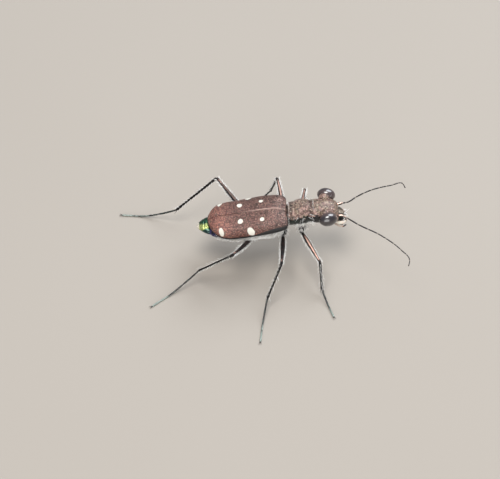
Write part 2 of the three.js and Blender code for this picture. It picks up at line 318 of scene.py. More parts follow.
def through(stations, places):
    # A smooth run of values through stations, each a place and then its values
    table = np.array(sorted(tuple(station) for station in stations), float)
    knots, values = table[:, 0], table[:, 1:]
    step = np.diff(knots)[:, None]
    slope = np.diff(values, axis=0) / step
    middle = (slope[:-1] * step[1:] + slope[1:] * step[:-1]) / (step[:-1] + step[1:])
    tangent = np.vstack([slope[:1], middle, slope[-1:]])
    place = np.clip(np.asarray(places, float), knots[0], knots[-1])
    i = np.clip(np.searchsorted(knots, place, side="right") - 1, 0, len(knots) - 2)
    t = ((place - knots[i]) / step[i, 0])[:, None]
    return (
        (2 * t**3 - 3 * t**2 + 1) * values[i]
        + (t**3 - 2 * t**2 + t) * tangent[i] * step[i]
        + (3 * t**2 - 2 * t**3) * values[i + 1]
        + (t**3 - t**2) * tangent[i + 1] * step[i]
    )


def sheetShape(points, values, closedRound=True, cell=wholeUnwrap):
    # A net of rows and columns. A closed one runs round its columns and has closed ends.
    rows, columns = points.shape[:2]
    spans = columns if closedRound else columns - 1
    corners = points.reshape(-1, 3)
    values = {name: np.broadcast_to(value, (rows, columns)).ravel() for name, value in values.items()}
    faces, unwrap = [], []
    for i in range(rows - 1):
        for j in range(spans):
            k = (j + 1) % columns
            low, high = i * columns, (i + 1) * columns
            faces.append((low + j, low + k, high + k, high + j))
            for u, v in ((i, j), (i, j + 1), (i + 1, j + 1), (i + 1, j)):
                unwrap.append((fanShare + (1 - 2 * fanShare) * u / (rows - 1), v / spans))
    if closedRound:
        first, last, lastRow = len(corners), len(corners) + 1, (rows - 1) * columns
        corners = np.vstack([corners, points[0].mean(axis=0), points[-1].mean(axis=0)])
        values = {name: np.append(value, [value[0], value[-1]]) for name, value in values.items()}
        for j in range(columns):
            k = (j + 1) % columns
            here, following, halfway = j / spans, (j + 1) / spans, (j + 0.5) / spans
            faces.append((first, k, j))
            unwrap += [(0.0, halfway), (fanShare, following), (fanShare, here)]
            faces.append((last, lastRow + j, lastRow + k))
            unwrap += [(1.0, halfway), (1 - fanShare, here), (1 - fanShare, following)]
    unwrap = np.array(unwrap) * (1 - 2 * unwrapMargin) + unwrapMargin
    unwrap = (unwrap + np.array(cell[:2])) / cell[2]
    return {"corners": corners, "faces": faces, "unwrap": unwrap, "values": values}


def bodyForm(form, sculpt=None):
    # A rounded closed form along X. Each of its stations gives a place along the
    # body, half width, top, widest height and belly.
    stations, squareness = form["stations"], form["squareness"]
    places = [station[0] for station in stations]
    rear, front = min(places), max(places)
    x = rear + (front - rear) * easedShares(form["steps"] + 1, 0.03)
    halfWidth, top, waist, belly = through(stations, x).T
    close = endRounding(np.minimum(x - rear, front - x), form["rounding"])
    angle = turns(form["around"])
    sideways, upwards = signedPower(np.cos(angle), squareness), signedPower(np.sin(angle), squareness)
    reach = np.where(upwards > 0, (top - waist)[:, None], (waist - belly)[:, None])
    y = (halfWidth * close)[:, None] * sideways
    z = waist[:, None] + upwards * reach * close[:, None]
    points = np.stack([np.broadcast_to(x[:, None], y.shape), y, z], axis=2)
    height = np.sin(angle)[None, :]
    if sculpt:
        outward = np.stack([0 * angle, np.cos(angle), np.sin(angle)], axis=1)
        points = points + outward * (sculpt(points, height) * close[:, None])[:, :, None]
    return sheetShape(points, {"height": height})


def ellipsoid(at, size, around, steps, values):
    angle, polar = turns(around), np.linspace(0.1, np.pi - 0.1, steps)[:, None]
    x = np.broadcast_to(np.cos(polar), (steps, around)) * size[0] / 2
    y = np.sin(polar) * np.cos(angle) * size[1] / 2
    z = np.sin(polar) * np.sin(angle) * size[2] / 2
    return sheetShape(np.stack([x, y, z], axis=2) + np.array(at), values)


def smoothPath(points, shares):
    points = np.array(points, float)
    chord = np.concatenate([[0], np.cumsum(np.linalg.norm(np.diff(points, axis=0), axis=1))])
    fine = through(np.column_stack([chord, points]), np.linspace(0, chord[-1], pathSteps))
    length = np.concatenate([[0], np.cumsum(np.linalg.norm(np.diff(fine, axis=0), axis=1))])
    place = np.asarray(shares) * length[-1]
    return np.stack([np.interp(place, length, fine[:, k]) for k in range(3)], axis=1), length[-1]


def tube(points, shares, radii, around, rounding, flat=1.0, values=None, cell=wholeUnwrap):
    # A closed tube along points. Also gives its rail, which bristles are set along.
    centres, length = smoothPath(points, shares)
    besides = np.clip([shares - 0.004, shares + 0.004], 0, 1).reshape(-1)
    before, after = np.split(smoothPath(points, besides)[0], 2)
    along = unit(after - before)
    acrossWay = unit(np.cross(np.broadcast_to(up, along.shape), along))
    upWay = np.cross(along, acrossWay)
    fromEnd = np.minimum(shares, 1 - shares) * length
    radius = np.asarray(radii) * endRounding(fromEnd + 0.0005, rounding)
    angle = turns(around)
    out = (np.cos(angle)[None, :, None] * acrossWay[:, None, :] * flat
           + np.sin(angle)[None, :, None] * upWay[:, None, :])
    ring = centres[:, None, :] + radius[:, None, None] * out
    values = {"along": shares[:, None], "dorsal": np.sin(angle)[None, :], **(values or {})}
    shape = sheetShape(ring, values, cell=cell)
    shape["rail"] = {
        "shares": shares, "centres": centres, "along": along, "across": acrossWay * flat,
        "up": upWay, "radius": radius, "cell": cell, "length": length,
    }
    return shape


def alongRail(rail, key, share):
    return np.array([np.interp(share, rail["shares"], rail[key][:, k]) for k in range(3)])


def spike(path, radius, count, taper, values):
    shares = easedShares(count)
    return tube(path, shares, radius * (1 - taper * shares), 8, 0.02, values=values)


def jointed(limb):
    # Shares and radii along a limb's joints, narrow where each begins
    ends = np.concatenate([[0], np.cumsum(limb["joints"])]) / sum(limb["joints"])
    inside = np.array([0.0, 0.03, 0.09, 0.22, 0.5, 0.78, 0.93, 0.985])
    fullness = np.array([0.0, 0.35, 0.62, 0.8, 0.9, 1.0, 0.9, 0.35])
    shares = np.concatenate([a + (b - a) * inside for a, b in zip(ends[:-1], ends[1:])])
    shares = np.clip(shares, 0.002, 0.998)
    swelling = np.tile(limb["waist"] + (1 - limb["waist"]) * fullness, len(limb["joints"]))
    return shares, np.interp(shares, [0, 1], limb["radii"]) * swelling


# Meshes and pieces


def faceOutwards(mesh):
    work = bmesh.new()
    work.from_mesh(mesh)
    bmesh.ops.recalc_face_normals(work, faces=work.faces)
    work.to_mesh(mesh)
    work.free()


def setValues(mesh, key, values):
    kind, field = ("FLOAT", "value") if values.ndim == 1 else ("FLOAT_VECTOR", "vector")
    attribute = mesh.attributes.new(key, kind, "POINT")
    attribute.data.foreach_set(field, values.astype(np.float32).ravel())


def valuesOn(mesh, key):
    values = np.zeros(len(mesh.vertices), np.float32)
    mesh.attributes[key].data.foreach_get("value", values)
    return values


def meshFrom(name, shapes, outward=True):
    corners, faces, unwrap, start = [], [], [], 0
    values = {key: [] for key in sorted({key for shape in shapes for key in shape["values"]})}
    for shape in shapes:
        count = len(shape["corners"])
        corners.append(shape["corners"])
        faces += [tuple(corner + start for corner in face) for face in shape["faces"]]
        unwrap.append(shape["unwrap"])
        for key in values:
            values[key].append(shape["values"].get(key, np.zeros(count)))
        start += count
    mesh = bpy.data.meshes.new(name)
    mesh.from_pydata(inFrame(np.vstack(corners)).tolist(), [], faces)
    layer = mesh.uv_layers.new(name="skinUnwrap")
    layer.data.foreach_set("uv", np.vstack(unwrap).astype(np.float32).ravel())
    for key in values:
        setValues(mesh, key, np.concatenate(values[key]))
    if outward:
        faceOutwards(mesh)
    mesh.shade_smooth()
    return mesh


def madePlain(mesh, addModifiers):
    # The mesh as its modifiers leave it
    holder = bpy.data.objects.new("maker", mesh)
    bpy.context.scene.collection.objects.link(holder)
    addModifiers(holder)
    graph = bpy.context.evaluated_depsgraph_get()
    result = bpy.data.meshes.new_from_object(
        holder.evaluated_get(graph), preserve_all_data_layers=True, depsgraph=graph)
    bpy.data.objects.remove(holder)
    result.shade_smooth()
    return result


def addPiece(name, mesh, material, nodes=()):
    mesh.materials.clear()
    mesh.materials.append(material)
    mesh.name = name
    piece = bpy.data.objects.new(name, mesh)
    bpy.context.scene.collection.objects.link(piece)
    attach(piece, "root")
    if nodes:
        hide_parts(*nodes)
    print(f"{name}: {sum(len(face.vertices) - 2 for face in mesh.polygons)} triangles")


# Trees of geometry nodes, and what they make of a mesh


def startTree(name, inputs):
    # A tree with its named inputs, and a way to reach each of them
    tree = bpy.data.node_groups.new(name, "GeometryNodeTree")
    for key, (kind, value) in inputs.items():
        socket = tree.interface.new_socket(name=key, in_out="INPUT", socket_type=f"NodeSocket{kind}")
        if value is not None:
            socket.default_value = value
    tree.interface.new_socket(name="Geometry", in_out="OUTPUT", socket_type="NodeSocketGeometry")
    source = tree.nodes.new("NodeGroupInput")
    return tree, lambda key: Field(source.outputs[key])


def endTree(geometry, material):
    inputs = {"Geometry": geometry, "Material": material}
    coloured = wire(geometry.tree, "GeometryNodeSetMaterial", inputs)
    setInputs(geometry.tree.nodes.new("NodeGroupOutput"), {0: coloured})


def madeByTree(mesh, tree, settings):
    def addTree(holder):
        modifier = holder.modifiers.new(tree.name, "NODES")
        modifier.node_group = tree
        for item in tree.interface.items_tree:
            if item.in_out == "INPUT" and item.name in settings:
                modifier[item.identifier] = settings[item.name]

    return madePlain(mesh, addTree)


# Wing cases: two thin shells that meet at the seam, folded under at the side

wingCase = {
    "base": 1.62,
    "apex": -6.16,
    "edgeAtBase": 5.93,
    "edgeAtApex": 4.5,
    "halfWidth": 2.3,
    "arch": 1.13,
    "squareness": 0.85,
    "thickness": 0.09,
    "halfSeam": 0.012,
    "rows": 150,
    "waves": {"height": 0.022, "scale": 1.1},
    "arc": 2.87,  # from the seam over the back to the edge
    # Share of the way from base to apex, shares of the half width and arch, lift of the edge
    "outline": [
        (0, 0.7, 0.26, 0),
        (0.004, 0.79, 0.33, 0),
        (0.02, 0.86, 0.42, 0),
        (0.06, 0.92, 0.58, 0),
        (0.14, 0.97, 0.82, 0),
        (0.25, 1.0, 0.93, 0),
        (0.45, 1.0, 0.98, -0.03),
        (0.62, 0.98, 1.0, -0.06),
        (0.77, 0.94, 0.95, 0.04),
        (0.87, 0.82, 0.74, 0.27),
        (0.935, 0.62, 0.48, 0.47),
        (0.975, 0.39, 0.28, 0.57),
        (0.996, 0.17, 0.14, 0.62),
        (1.001, 0.04, 0.09, 0.63),
    ],
    # Beyond the edge: how far out, how far down, and the kept value "across"
    "fold": [(0.014, -0.03, 1.01), (0.012, -0.08, 1.03), (-0.04, -0.12, 1.06), (-0.15, -0.14, 1.1)],
    # Shoulder and the hollow beside it: height, then place and width along and across
    "shoulder": [(0.07, 0.95, 0.5, 1.6, 0.4), (-0.06, 1.15, 0.45, 0.95, 0.35)],
}
wingCaseColours = seen({
    "disc": (134, 99, 88),
    "side": (138, 92, 78),
    "shoulder": (114, 87, 79),
    "groove": (58, 38, 42),
    "gleam": (84, 98, 84),
    "speckGlint": (226, 196, 180),
    "seam": (214, 182, 170),
    "marginAndShade": (12, 11, 13),
    "spot": (212, 208, 196),
})
# Cream spots: place along the body, arc from the seam, half length, half width, lean
creamSpots = [
    (-0.875, 0.82, 0.215, 0.18, 0.0),
    (-3.0, 0.73, 0.255, 0.23, -0.1),
    (-2.0, 2.08, 0.33, 0.6, 0.26),
    (-4.9, 1.95, 0.24, 0.66, 0.08),
]


def wingCaseFinish():
    material, place = newSkin("wingCaseCuticle")
    tones = wingCaseColours
    x = parted(place)[0]
    across = kept(place, "across")
    arc = across * wingCase["arc"]
    cloud = grain(place, 1.1)
    forward = between(x, -3.0, 1.2, 0.1, 1.0)

    # Close granules, each with a tone of its own, painted shade darkening the gaps between them, and a
    # finer net
    granule, tone = cells(place, 8.2, 0.85)
    net, netTone = cells(place, 17.0)
    gap = between(granule, 0.3, 0.56)
    colour = layered(
        tones["disc"],
        (between(arc + cloud * 0.8, 1.7, 2.9), tones["side"]),
        (between(x, -2.8, -5.4, 0.0, 0.8), tones["side"]),
        (between(x, -0.6, 1.2) * between(arc, 1.0, 2.0), tones["shoulder"]),
        (gap * 0.74, tones["groove"]),
        (gap * between(grain(place, 4.5), 0.48, 0.66) * 0.3, tones["gleam"]),
    )
    # Lighter towards the rear of each case: painted light on the apex that slopes down; darker towards
    # the front
    rear = between(x, -3.2, -5.4, 0.4, 1.1)
    colour = brightened(colour, tone * 0.75 + netTone * 0.55 + rear - forward * 0.28)

    # Cream spots with slightly wavy edges
    waver = (grain(place, 3.4) - 0.5) * 0.8
    spots = None
    for spotX, spotArc, halfLength, halfWidth, lean in creamSpots:
        aside = arc - spotArc
        ahead = x - spotX - aside * lean
        squared = abs(ahead / halfLength) ** 2.0 + abs(aside / halfWidth) ** 2.0
        mask = between(squared + waver, 1.15, 0.9)
        spots = mask if spots is None else number("MAXIMUM", spots, mask)

    # A lighter line along the seam in front, and the black edge band: the cuticle's own dark edge,
    # broader in front with painted shade on the steep side below the shoulder
    seamLine = between(arc, 0.045, 0.02) * between(x, -3.6, -0.6, 0.0, 0.9)
    frontShadeWidening = between(x, -2.2, 0.8, 0.0, 0.2)
    marginAndShade = between(across + grain(place, 5.0) * 0.06 + frontShadeWidening, 0.955, 0.99)
    colour = layered(
        colour,
        # pale dots towards the front: painted glints
        (between(netTone, 0.83, 0.95) * forward * 0.36, tones["speckGlint"]),
        (seamLine, tones["seam"]),
        (marginAndShade, tones["marginAndShade"]),
        (spots, tones["spot"]),
    )
    fine = relief(between(net, 0.5, 0.1), 0.008, 0.6)
    return finished(material, {
        "Base Color": colour,
        "Metallic": between(number("MAXIMUM", spots, marginAndShade), 0.0, 1.0, 0.6, 0.0),
        "Roughness": between(cloud, 0.3, 0.7, 0.42, 0.5) + gap * 0.12,
        "Normal": relief(between(granule, 0.5, 0.05), 0.024, 0.9, fine),
        "Coat Weight": 0.1,
        "Coat Roughness": 0.35,
    })


def wingCaseRows():
    table = np.array(wingCase["outline"])
    length = wingCase["apex"] - wingCase["base"]
    step = np.diff(table[:, :2], axis=0) * [length, wingCase["halfWidth"]]
    chord = np.concatenate([[0], np.cumsum(np.linalg.norm(step, axis=1))])
    place = chord[-1] * easedShares(wingCase["rows"], 0)
    share, width, arch, lift = through(np.column_stack([chord, table]), place).T
    x = wingCase["base"] + length * share
    waist = wingCase["edgeAtBase"] + (wingCase["edgeAtApex"] - wingCase["edgeAtBase"]) * share + lift
    return x, wingCase["halfWidth"] * width, wingCase["arch"] * arch, waist


def wingCaseMesh(name, side):
    x, width, arch, waist = (value[:, None] for value in wingCaseRows())
    runs = np.linspace(0, 0.05, 7), np.linspace(0.07, 0.93, 40), np.linspace(0.95, 1, 5)
    across = np.concatenate(runs)
    angle = (1 - across)[None, :] * np.pi / 2
    power, halfSeam = wingCase["squareness"], wingCase["halfSeam"]
    y = np.maximum(width * signedPower(np.cos(angle), power), halfSeam)
    z = waist + arch * signedPower(np.sin(angle), power)
    z = z + 0.016 * hump(y, 0.045, 0.03) - 0.03 * hump(y, 0, 0.02)  # beaded seam
    for height, alongAt, alongWidth, acrossAt, acrossWidth in wingCase["shoulder"]:
        z = z + height * hump(x, alongAt, alongWidth) * hump(y, acrossAt, acrossWidth)
    furrow = 0.025 * hump(across[None, :], 0.965, 0.015) * (width > 0.5)
    z = z + (0.02 * hump(x, wingCase["base"], 0.05) - furrow)
    small = np.minimum(width / 0.6, 1)
    for out, down, _ in wingCase["fold"]:
        y = np.hstack([y, np.maximum(width + out * small, halfSeam)])
        z = np.hstack([z, waist + down * small])
    points = np.stack([np.broadcast_to(x, y.shape), y * side, z], axis=2)
    waves = wingCase["waves"]
    for i, j in np.ndindex(y.shape):
        points[i, j, 2] += waves["height"] * noise.noise(Vector(points[i, j]) * waves["scale"])
    across = np.concatenate([across, [fold[2] for fold in wingCase["fold"]]])[None, :]
    points, across = points[:, ::side], across[:, ::side]  # the right one is the left one's mirror
    shape = sheetShape(points, {"across": across}, closedRound=False)
    mesh = meshFrom(name, [shape], outward=False)
    if sum(face.normal.z for face in mesh.polygons) < 0:
        mesh.flip_normals()

    def thicken(holder):
        shell = holder.modifiers.new("thickness", "SOLIDIFY")
        shell.thickness = wingCase["thickness"] * mm
        shell.offset = -1
        finer = holder.modifiers.new("finer", "SUBSURF")
        finer.levels = finer.render_levels = 1

    mesh = madePlain(mesh, thicken)
    faceOutwards(mesh)
    return mesh


def buildWingCases():
    material = wingCaseFinish()
    for sideName, side in bothSides.items():
        name = f"wingCase_{sideName}"
        addPiece(name, wingCaseMesh(name, side), material, [f"elytron_{sideName}"])


# Body forms

trunk = {
    "around": 120, "steps": 150, "squareness": 0.85, "rounding": 0.2,
    "plates": [-2.5, -3.3, -4.05, -4.75, -5.35, -5.9],
    "seams": [(0.62, 0.25), (-2.0, -0.3)],
    "stations": [
        (1.62, 0.7, 5.95, 5.3, 4.8),
        (1.42, 1.1, 6.0, 5.22, 4.52),
        (1.1, 1.52, 6.1, 5.12, 4.2),
        (0.4, 1.96, 6.1, 5.0, 4.06),
        (-1.0, 2.09, 5.95, 4.86, 3.94),
        (-2.8, 2.09, 5.6, 4.62, 3.85),
        (-4.2, 1.92, 5.2, 4.4, 3.86),
        (-5.2, 1.56, 4.95, 4.3, 3.92),
        (-5.9, 1.13, 4.75, 4.3, 3.98),
        (-6.4, 0.84, 4.6, 4.32, 4.05),
    ],
}
neck = {
    "around": 48, "steps": 24, "squareness": 0.95, "rounding": 0.1,
    "stations": [
        (0.9, 1.0, 6.1, 5.5, 4.5),
        (1.5, 1.12, 6.34, 5.55, 4.56),
        (1.75, 1.08, 6.4, 5.6, 4.62),
        (2.15, 0.9, 6.4, 5.6, 4.85),
    ],
}
tail = {
    "around": 72, "steps": 60, "squareness": 0.9, "rounding": 0.1,
    "stations": [
        (-5.7, 1.0, 4.66, 4.32, 4.02),
        (-6.1, 1.04, 4.74, 4.34, 3.99),
        (-6.5, 0.86, 4.74, 4.36, 4.03),
        (-6.86, 0.58, 4.66, 4.36, 4.1),
        (-7.12, 0.34, 4.54, 4.33, 4.17),
        (-7.26, 0.14, 4.43, 4.32, 4.22),
    ],
}
prothorax = {
    "around": 128, "steps": 130, "squareness": 0.97, "rounding": 0.12,
    "stations": [
        (1.62, 0.92, 6.48, 5.7, 4.88),
        (1.7, 1.07, 6.68, 5.7, 4.74),
        (1.84, 1.13, 6.78, 5.71, 4.68),
        (2.05, 1.15, 6.83, 5.74, 4.66),
        (2.26, 1.16, 6.9, 5.79, 4.68),
        (2.6, 1.23, 7.06, 5.9, 4.72),
        (3.05, 1.27, 7.19, 5.98, 4.76),
        (3.5, 1.21, 7.17, 6.02, 4.84),
        (3.82, 1.1, 7.08, 6.03, 4.92),
        (3.98, 1.1, 7.07, 6.03, 4.94),
        (4.14, 1.12, 7.08, 6.03, 4.97),
        (4.27, 1.02, 6.98, 6.02, 5.08),
    ],
}
scutellum = {
    "around": 40, "steps": 30, "squareness": 0.9, "rounding": 0.08,
    "stations": [
        (0.98, 0.05, 6.58, 6.53, 6.45),
        (1.12, 0.13, 6.56, 6.48, 6.36),
        (1.35, 0.22, 6.5, 6.38, 6.22),
        (1.55, 0.28, 6.42, 6.28, 6.1),
        (1.68, 0.27, 6.32, 6.2, 6.0),
    ],
}
undersideColours = seen({
    "black": (18, 18, 21),
    "green": (26, 46, 40),
    "violet": (54, 50, 96),
    "bronze": (34, 24, 24),
})
tailColours = seen({
    "green": (36, 78, 58),
    "limeHighlight": (184, 194, 118),
    "teal": (26, 58, 54),
    "blue": (44, 44, 84),
    "pale": (206, 198, 184),
})
bronzeColours = seen({
    "brown": (136, 107, 95),
    "olive": (146, 127, 109),
    "pink": (188, 154, 144),
    "goldGlint": (250, 236, 208),
    "creaseShade": (52, 36, 34),
    "dark": (16, 13, 15),
    "darkGreen": (20, 34, 28),
})
# Scale of the creases, and the kept heights between which bronze turns black
bronzeSkins = {
    "pronotumCuticle": {"creases": (7.6, 5.0, 5.0), "edge": (0.32, 0.44)},
    "headCuticle": {"creases": (4.6, 7.4, 5.0), "edge": (0.42, 0.56)},
}


def undersideFinish():
    material, place = newSkin("undersideCuticle")
    tones = undersideColours
    x = parted(place)[0]
    patches = grain(place, 1.3)
    scaly = relief(cells(place, 18.0)[0], 0.008, 0.7)
    return finished(material, {
        "Base Color": layered(
            tones["black"],
            (between(patches, 0.4, 0.65), tones["green"]),
            (between(x, -2.5, -5.2) * between(grain(place, 2.1, 2), 0.3, 0.6), tones["violet"]),
            (between(x, 0.2, 1.4) * 0.6, tones["bronze"]),
        ),
        "Metallic": 0.6,
        "Roughness": between(patches, 0.3, 0.7, 0.22, 0.36),
        "Normal": relief(grain(stretched(place, (1, 1, 3)), 7.0, 4), 0.02, 0.5, scaly),
        "Coat Weight": 0.35,
        "Coat Roughness": 0.15,
    })


def tailFinish():
    material, place = newSkin("tailCuticle")
    tones = tailColours
    x, y, z = parted(place)
    cloud = (grain(place, 2.4) - 0.5) * 0.5
    right = y * -1.0 + cloud
    tip = between(x, -6.95, -7.12)
    colour = layered(
        tones["green"],
        # a pale yellow-green band across the back: a painted highlight
        (between(right, -0.12, 0.26), tones["limeHighlight"]),
        (between(right, 0.5, 0.68), tones["green"]),
        (between(abs(y), 0.66, 0.84), tones["teal"]),
        (between(z + cloud, 4.36, 4.14), tones["blue"]),
        (tip, tones["pale"]),
    )
    tone = cells(place, 10.0)[1]
    return finished(material, {
        "Base Color": brightened(colour, between(tone, 0.0, 1.0, 0.7, 1.25)),
        "Metallic": between(tip, 0.0, 1.0, 0.82, 0.05),
        "Roughness": between(grain(place, 5.0, 2), 0.3, 0.7, 0.2, 0.34),
        "Normal": relief(cells(place, 16.0)[0], 0.012, 0.7),
        "Coat Weight": 0.4,
        "Coat Roughness": 0.12,
    })


def bronzeFinish(name):
    # Wrinkled bronze above, with painted shade in the creases and painted glints on scattered cells,
    # glossy and nearly black below a wavy line on the flank
    material, place = newSkin(name)
    tones, skin = bronzeColours, bronzeSkins[name]
    x, y, _ = parted(place)
    patches = grain(place, 1.5)
    aside = between(abs(y), 0.25, 0.9, 0.25, 0.9)
    creases = grain(stretched(place, skin["creases"]), 1.0, 5, 1.2)
    collar = number("MAXIMUM", hill(x, 3.92, 0.34), hill(x, 1.98, 0.26))
    glint, tone = cells(place, 8.0)
    wavy = (grain(place, 4.0, 4) - 0.5) * 0.9
    height = kept(place, "height") + between(x, 5.9, 6.4, 0.0, 0.7) + wavy
    below = between(height, *skin["edge"], 1.0, 0.0)
    grainy = relief(between(glint, 0.5, 0.05), 0.04, 0.9)
    return finished(material, {
        "Base Color": layered(
            tones["brown"],
            (between(patches, 0.44, 0.6), tones["olive"]),
            (aside * between(grain(place, 2.4), 0.42, 0.58), tones["pink"]),
            # painted shade in the creases
            (between(creases, 0.54, 0.4, 0.0, 0.86), tones["creaseShade"]),
            # darker bands over both collars, in the same dark tone
            (collar * between(patches, 0.35, 0.55, 0.35, 0.8), tones["creaseShade"]),
            # painted glints on scattered cells
            (between(glint, 0.45, 0.1) * between(tone, 0.6, 0.8), tones["goldGlint"]),
            (below, layered(tones["dark"], (between(patches, 0.42, 0.58), tones["darkGreen"]))),
        ),
        "Metallic": between(below, 0.0, 1.0, 0.55, 0.3),
        "Roughness": between(below, 0.0, 1.0, 0.31, 0.2),
        "Normal": relief(creases, 0.15, 0.95, grainy),
        "Coat Weight": 0.3,
        "Coat Roughness": 0.2,
    })


def trunkSculpt(points, height):
    # Edges of the belly's plates, and the seams between the plates of the thorax
    x = points[:, :, 0]
    depth = np.zeros(x.shape)
    for place in trunk["plates"]:
        depth -= 0.045 * hump(x, place, 0.05)
        depth += 0.03 * hump(x, place + 0.16, 0.12)
    depth -= 0.04 * rise(x, -2.35, -2.1) * hump(height, -0.25 + 0.06 * x, 0.06)
    for place, slant in trunk["seams"]:
        depth -= 0.04 * hump(x, place + slant * height, 0.05)
    return depth * (1 - rise(height, 0.25, 0.5))


def tailSculpt(points, height):
    # A groove along the flank and one across the back
    x = points[:, :, 0]
    return -0.04 * hump(height, -0.02, 0.1) - 0.035 * hump(x, -6.55, 0.045) * (height > -0.05)


def prothoraxSculpt(points, height):
    # Wrinkles and a middle line on the back, a rim along the flank, two cross furrows
    x, y = points[:, :, 0], points[:, :, 1]
    above = rise(height, 0.35, 0.6)
    folds = lumpy(points, (1.2, 2.2), 3.0)
    middle = rise(x, 2.35, 2.5) * (1 - rise(x, 3.7, 3.85))
    wrinkles = 0.012 * np.sin(x * 36 + folds * 9)
    depth = above * (-0.035 * hump(y, 0, 0.05) * middle + wrinkles * middle)
    depth = depth + 0.03 * hump(height, 0.58, 0.05) - 0.03 * hump(height, 0.48, 0.05)
    return depth - 0.03 * hump(x, 3.86, 0.05) - 0.03 * hump(x, 2.32, 0.06)


def buildBody(underside):
    body, front = bodyForm(trunk, trunkSculpt), bodyForm(neck)
    addPiece("trunk", meshFrom("trunk", [body, front]), underside,
             ["pterothorax", "abdomen"])
    end = meshFrom("tail", [bodyForm(tail, tailSculpt)])
    addPiece("tail", end, tailFinish(), ["abdomen_tip"])
    bronze = bronzeFinish("pronotumCuticle")
    barrel = bodyForm(prothorax, prothoraxSculpt)
    addPiece("pronotum", meshFrom("prothorax", [barrel]), bronze, ["prothorax"])
    shield = meshFrom("shield", [bodyForm(scutellum)])
    addPiece("scutellumShield", shield, bronze, ["scutellum"])
    return meshFrom("trunkSource", [body]), meshFrom("prothoraxSource", [barrel])


# Head

head = {
    "around": 128, "steps": 150, "squareness": 0.86, "rounding": 0.1,
    # Place and size, faces round and along, and the kept value "height"
    "eyeSocket": ((5.34, 1.0, 6.7), (1.1, 1.0, 0.96), 48, 30, {"height": 0.8}),
    "feelerSocket": ((6.4, 0.62, 5.88), (0.5, 0.42, 0.4), 24, 14, {"height": 0.8}),
    "mouthBlock": ((6.82, 0, 5.06), (1.06, 1.26, 0.46), 36, 20, {"height": -3.0}),
    "stations": [
        (3.9, 1.0, 6.88, 6.0, 5.2),
        (4.24, 1.15, 7.02, 6.0, 5.05),
        (4.44, 1.19, 7.05, 6.0, 5.0),
        (4.8, 1.2, 7.06, 6.0, 4.94),
        (5.2, 1.18, 7.06, 6.0, 4.86),
        (5.6, 1.14, 7.04, 6.0, 4.82),
        (6.0, 1.08, 6.96, 5.92, 4.84),
        (6.3, 1.06, 6.82, 5.85, 4.88),
        (6.5, 1.04, 6.62, 5.76, 4.94),
        (6.62, 0.97, 6.4, 5.66, 5.0),
        (6.7, 0.84, 6.2, 5.56, 5.1),
        (6.75, 0.66, 6.02, 5.5, 5.18),
    ],
}
eyes = {"at": (5.59, 1.55, 6.52), "size": (1.8, 1.28, 1.46), "turn": 12, "facetRounds": 6}
eyeColours = seen({"middle": (28, 20, 26), "rim": (62, 47, 47)})


def headSculpt(points, height):
    # A hollow between the eyes with a ridge and fine lines at each side, and two cross furrows
    x, y = points[:, :, 0], np.abs(points[:, :, 1])
    above = rise(height, 0.2, 0.6)
    hollow = -0.1 * hump(y, 0, 0.42) * hump(x, 5.8, 0.5)
    ridges = 0.06 * hump(y, 0.8, 0.12) * hump(x, 5.7, 0.65)
    lines = 0.012 * np.sin(y * 62 + 2.5 * np.sin(x * 3)) * rise(y, 0.3, 0.45) * hump(x, 5.7, 0.6)
    folds = lumpy(points, (2.6, 2.6), 7.0)
    front = -0.055 * hump(x, 6.36, 0.05) * rise(height, -0.4, 0.0)
    rear = -0.03 * hump(x, 4.66, 0.08)
    return above * (hollow + ridges) + above * (lines + 0.02 * folds) + front + rear


def buildHead():
    shapes = [bodyForm(head, headSculpt)]
    for side in bothSides.values():
        for at, *rest in (head["eyeSocket"], head["feelerSocket"]):
            shapes.append(ellipsoid(onSide(at, side), *rest))
    shapes.append(ellipsoid(*head["mouthBlock"]))
    material = bronzeFinish("headCuticle")
    addPiece("headCapsule", meshFrom("head", shapes), material, ["head"])


def eyeFinish():
    material, place = newSkin("eyeLens")
    around = kept(place, "rim") + grain(place, 1.4, 2) * 0.25
    return finished(material, {
        "Base Color": layered(eyeColours["middle"], (between(around, 0.55, 1.0), eyeColours["rim"])),
        "Roughness": 0.3,
        "Normal": relief(cells(place, 34.0, 0.4)[0], 0.004, 0.6),
        "Coat Weight": 1.0,
        "Coat Roughness": 0.1,
        "Coat IOR": 1.7,
    })


def facetTree():
    # An eye of six-sided facets: the dual of a finely divided ball
    tree, given = startTree("facetedEye", {
        "Geometry": ("Geometry", None),
        "Rounds": ("Int", 3),
        "Half Size": ("Vector", None),
        "Centre": ("Vector", None),
        "Turn": ("Vector", None),
        "Material": ("Material", None),
    })
    ball = wire(tree, "GeometryNodeMeshIcoSphere", {"Radius": 1.0, "Subdivisions": given("Rounds")})
    placed = wire(tree, "GeometryNodeTransform", {
        "Geometry": wire(tree, "GeometryNodeDualMesh", {"Mesh": ball}),
        "Translation": given("Centre"),
        "Rotation": given("Turn"),
        "Scale": given("Half Size"),
    })
    real = wire(tree, "GeometryNodeRealizeInstances", {"Geometry": placed})
    endTree(real, given("Material"))
    return tree


def buildEyes():
    tree, material = facetTree(), eyeFinish()
    for sideName, side in bothSides.items():
        mesh = madeByTree(bpy.data.meshes.new("eyeSeed"), tree, {
            "Rounds": eyes["facetRounds"],
            "Half Size": [size / 2 * mm for size in eyes["size"]],
            "Centre": inFrame(onSide(eyes["at"], side)).tolist(),
            "Turn": (0.0, 0.0, math.radians(-eyes["turn"] * side)),
            "Material": material,
        })
        faceOutwards(mesh)
        out = (np.abs(placesOn(mesh)[:, 1]) - eyes["at"][1]) / (eyes["size"][1] / 2)
        setValues(mesh, "rim", 1 - rise(out, -0.2, 0.75))
        addPiece(f"eye_{sideName}_facets", mesh, material, [f"eye_{sideName}"])


# Mouthparts, those of the left side given, root to tip

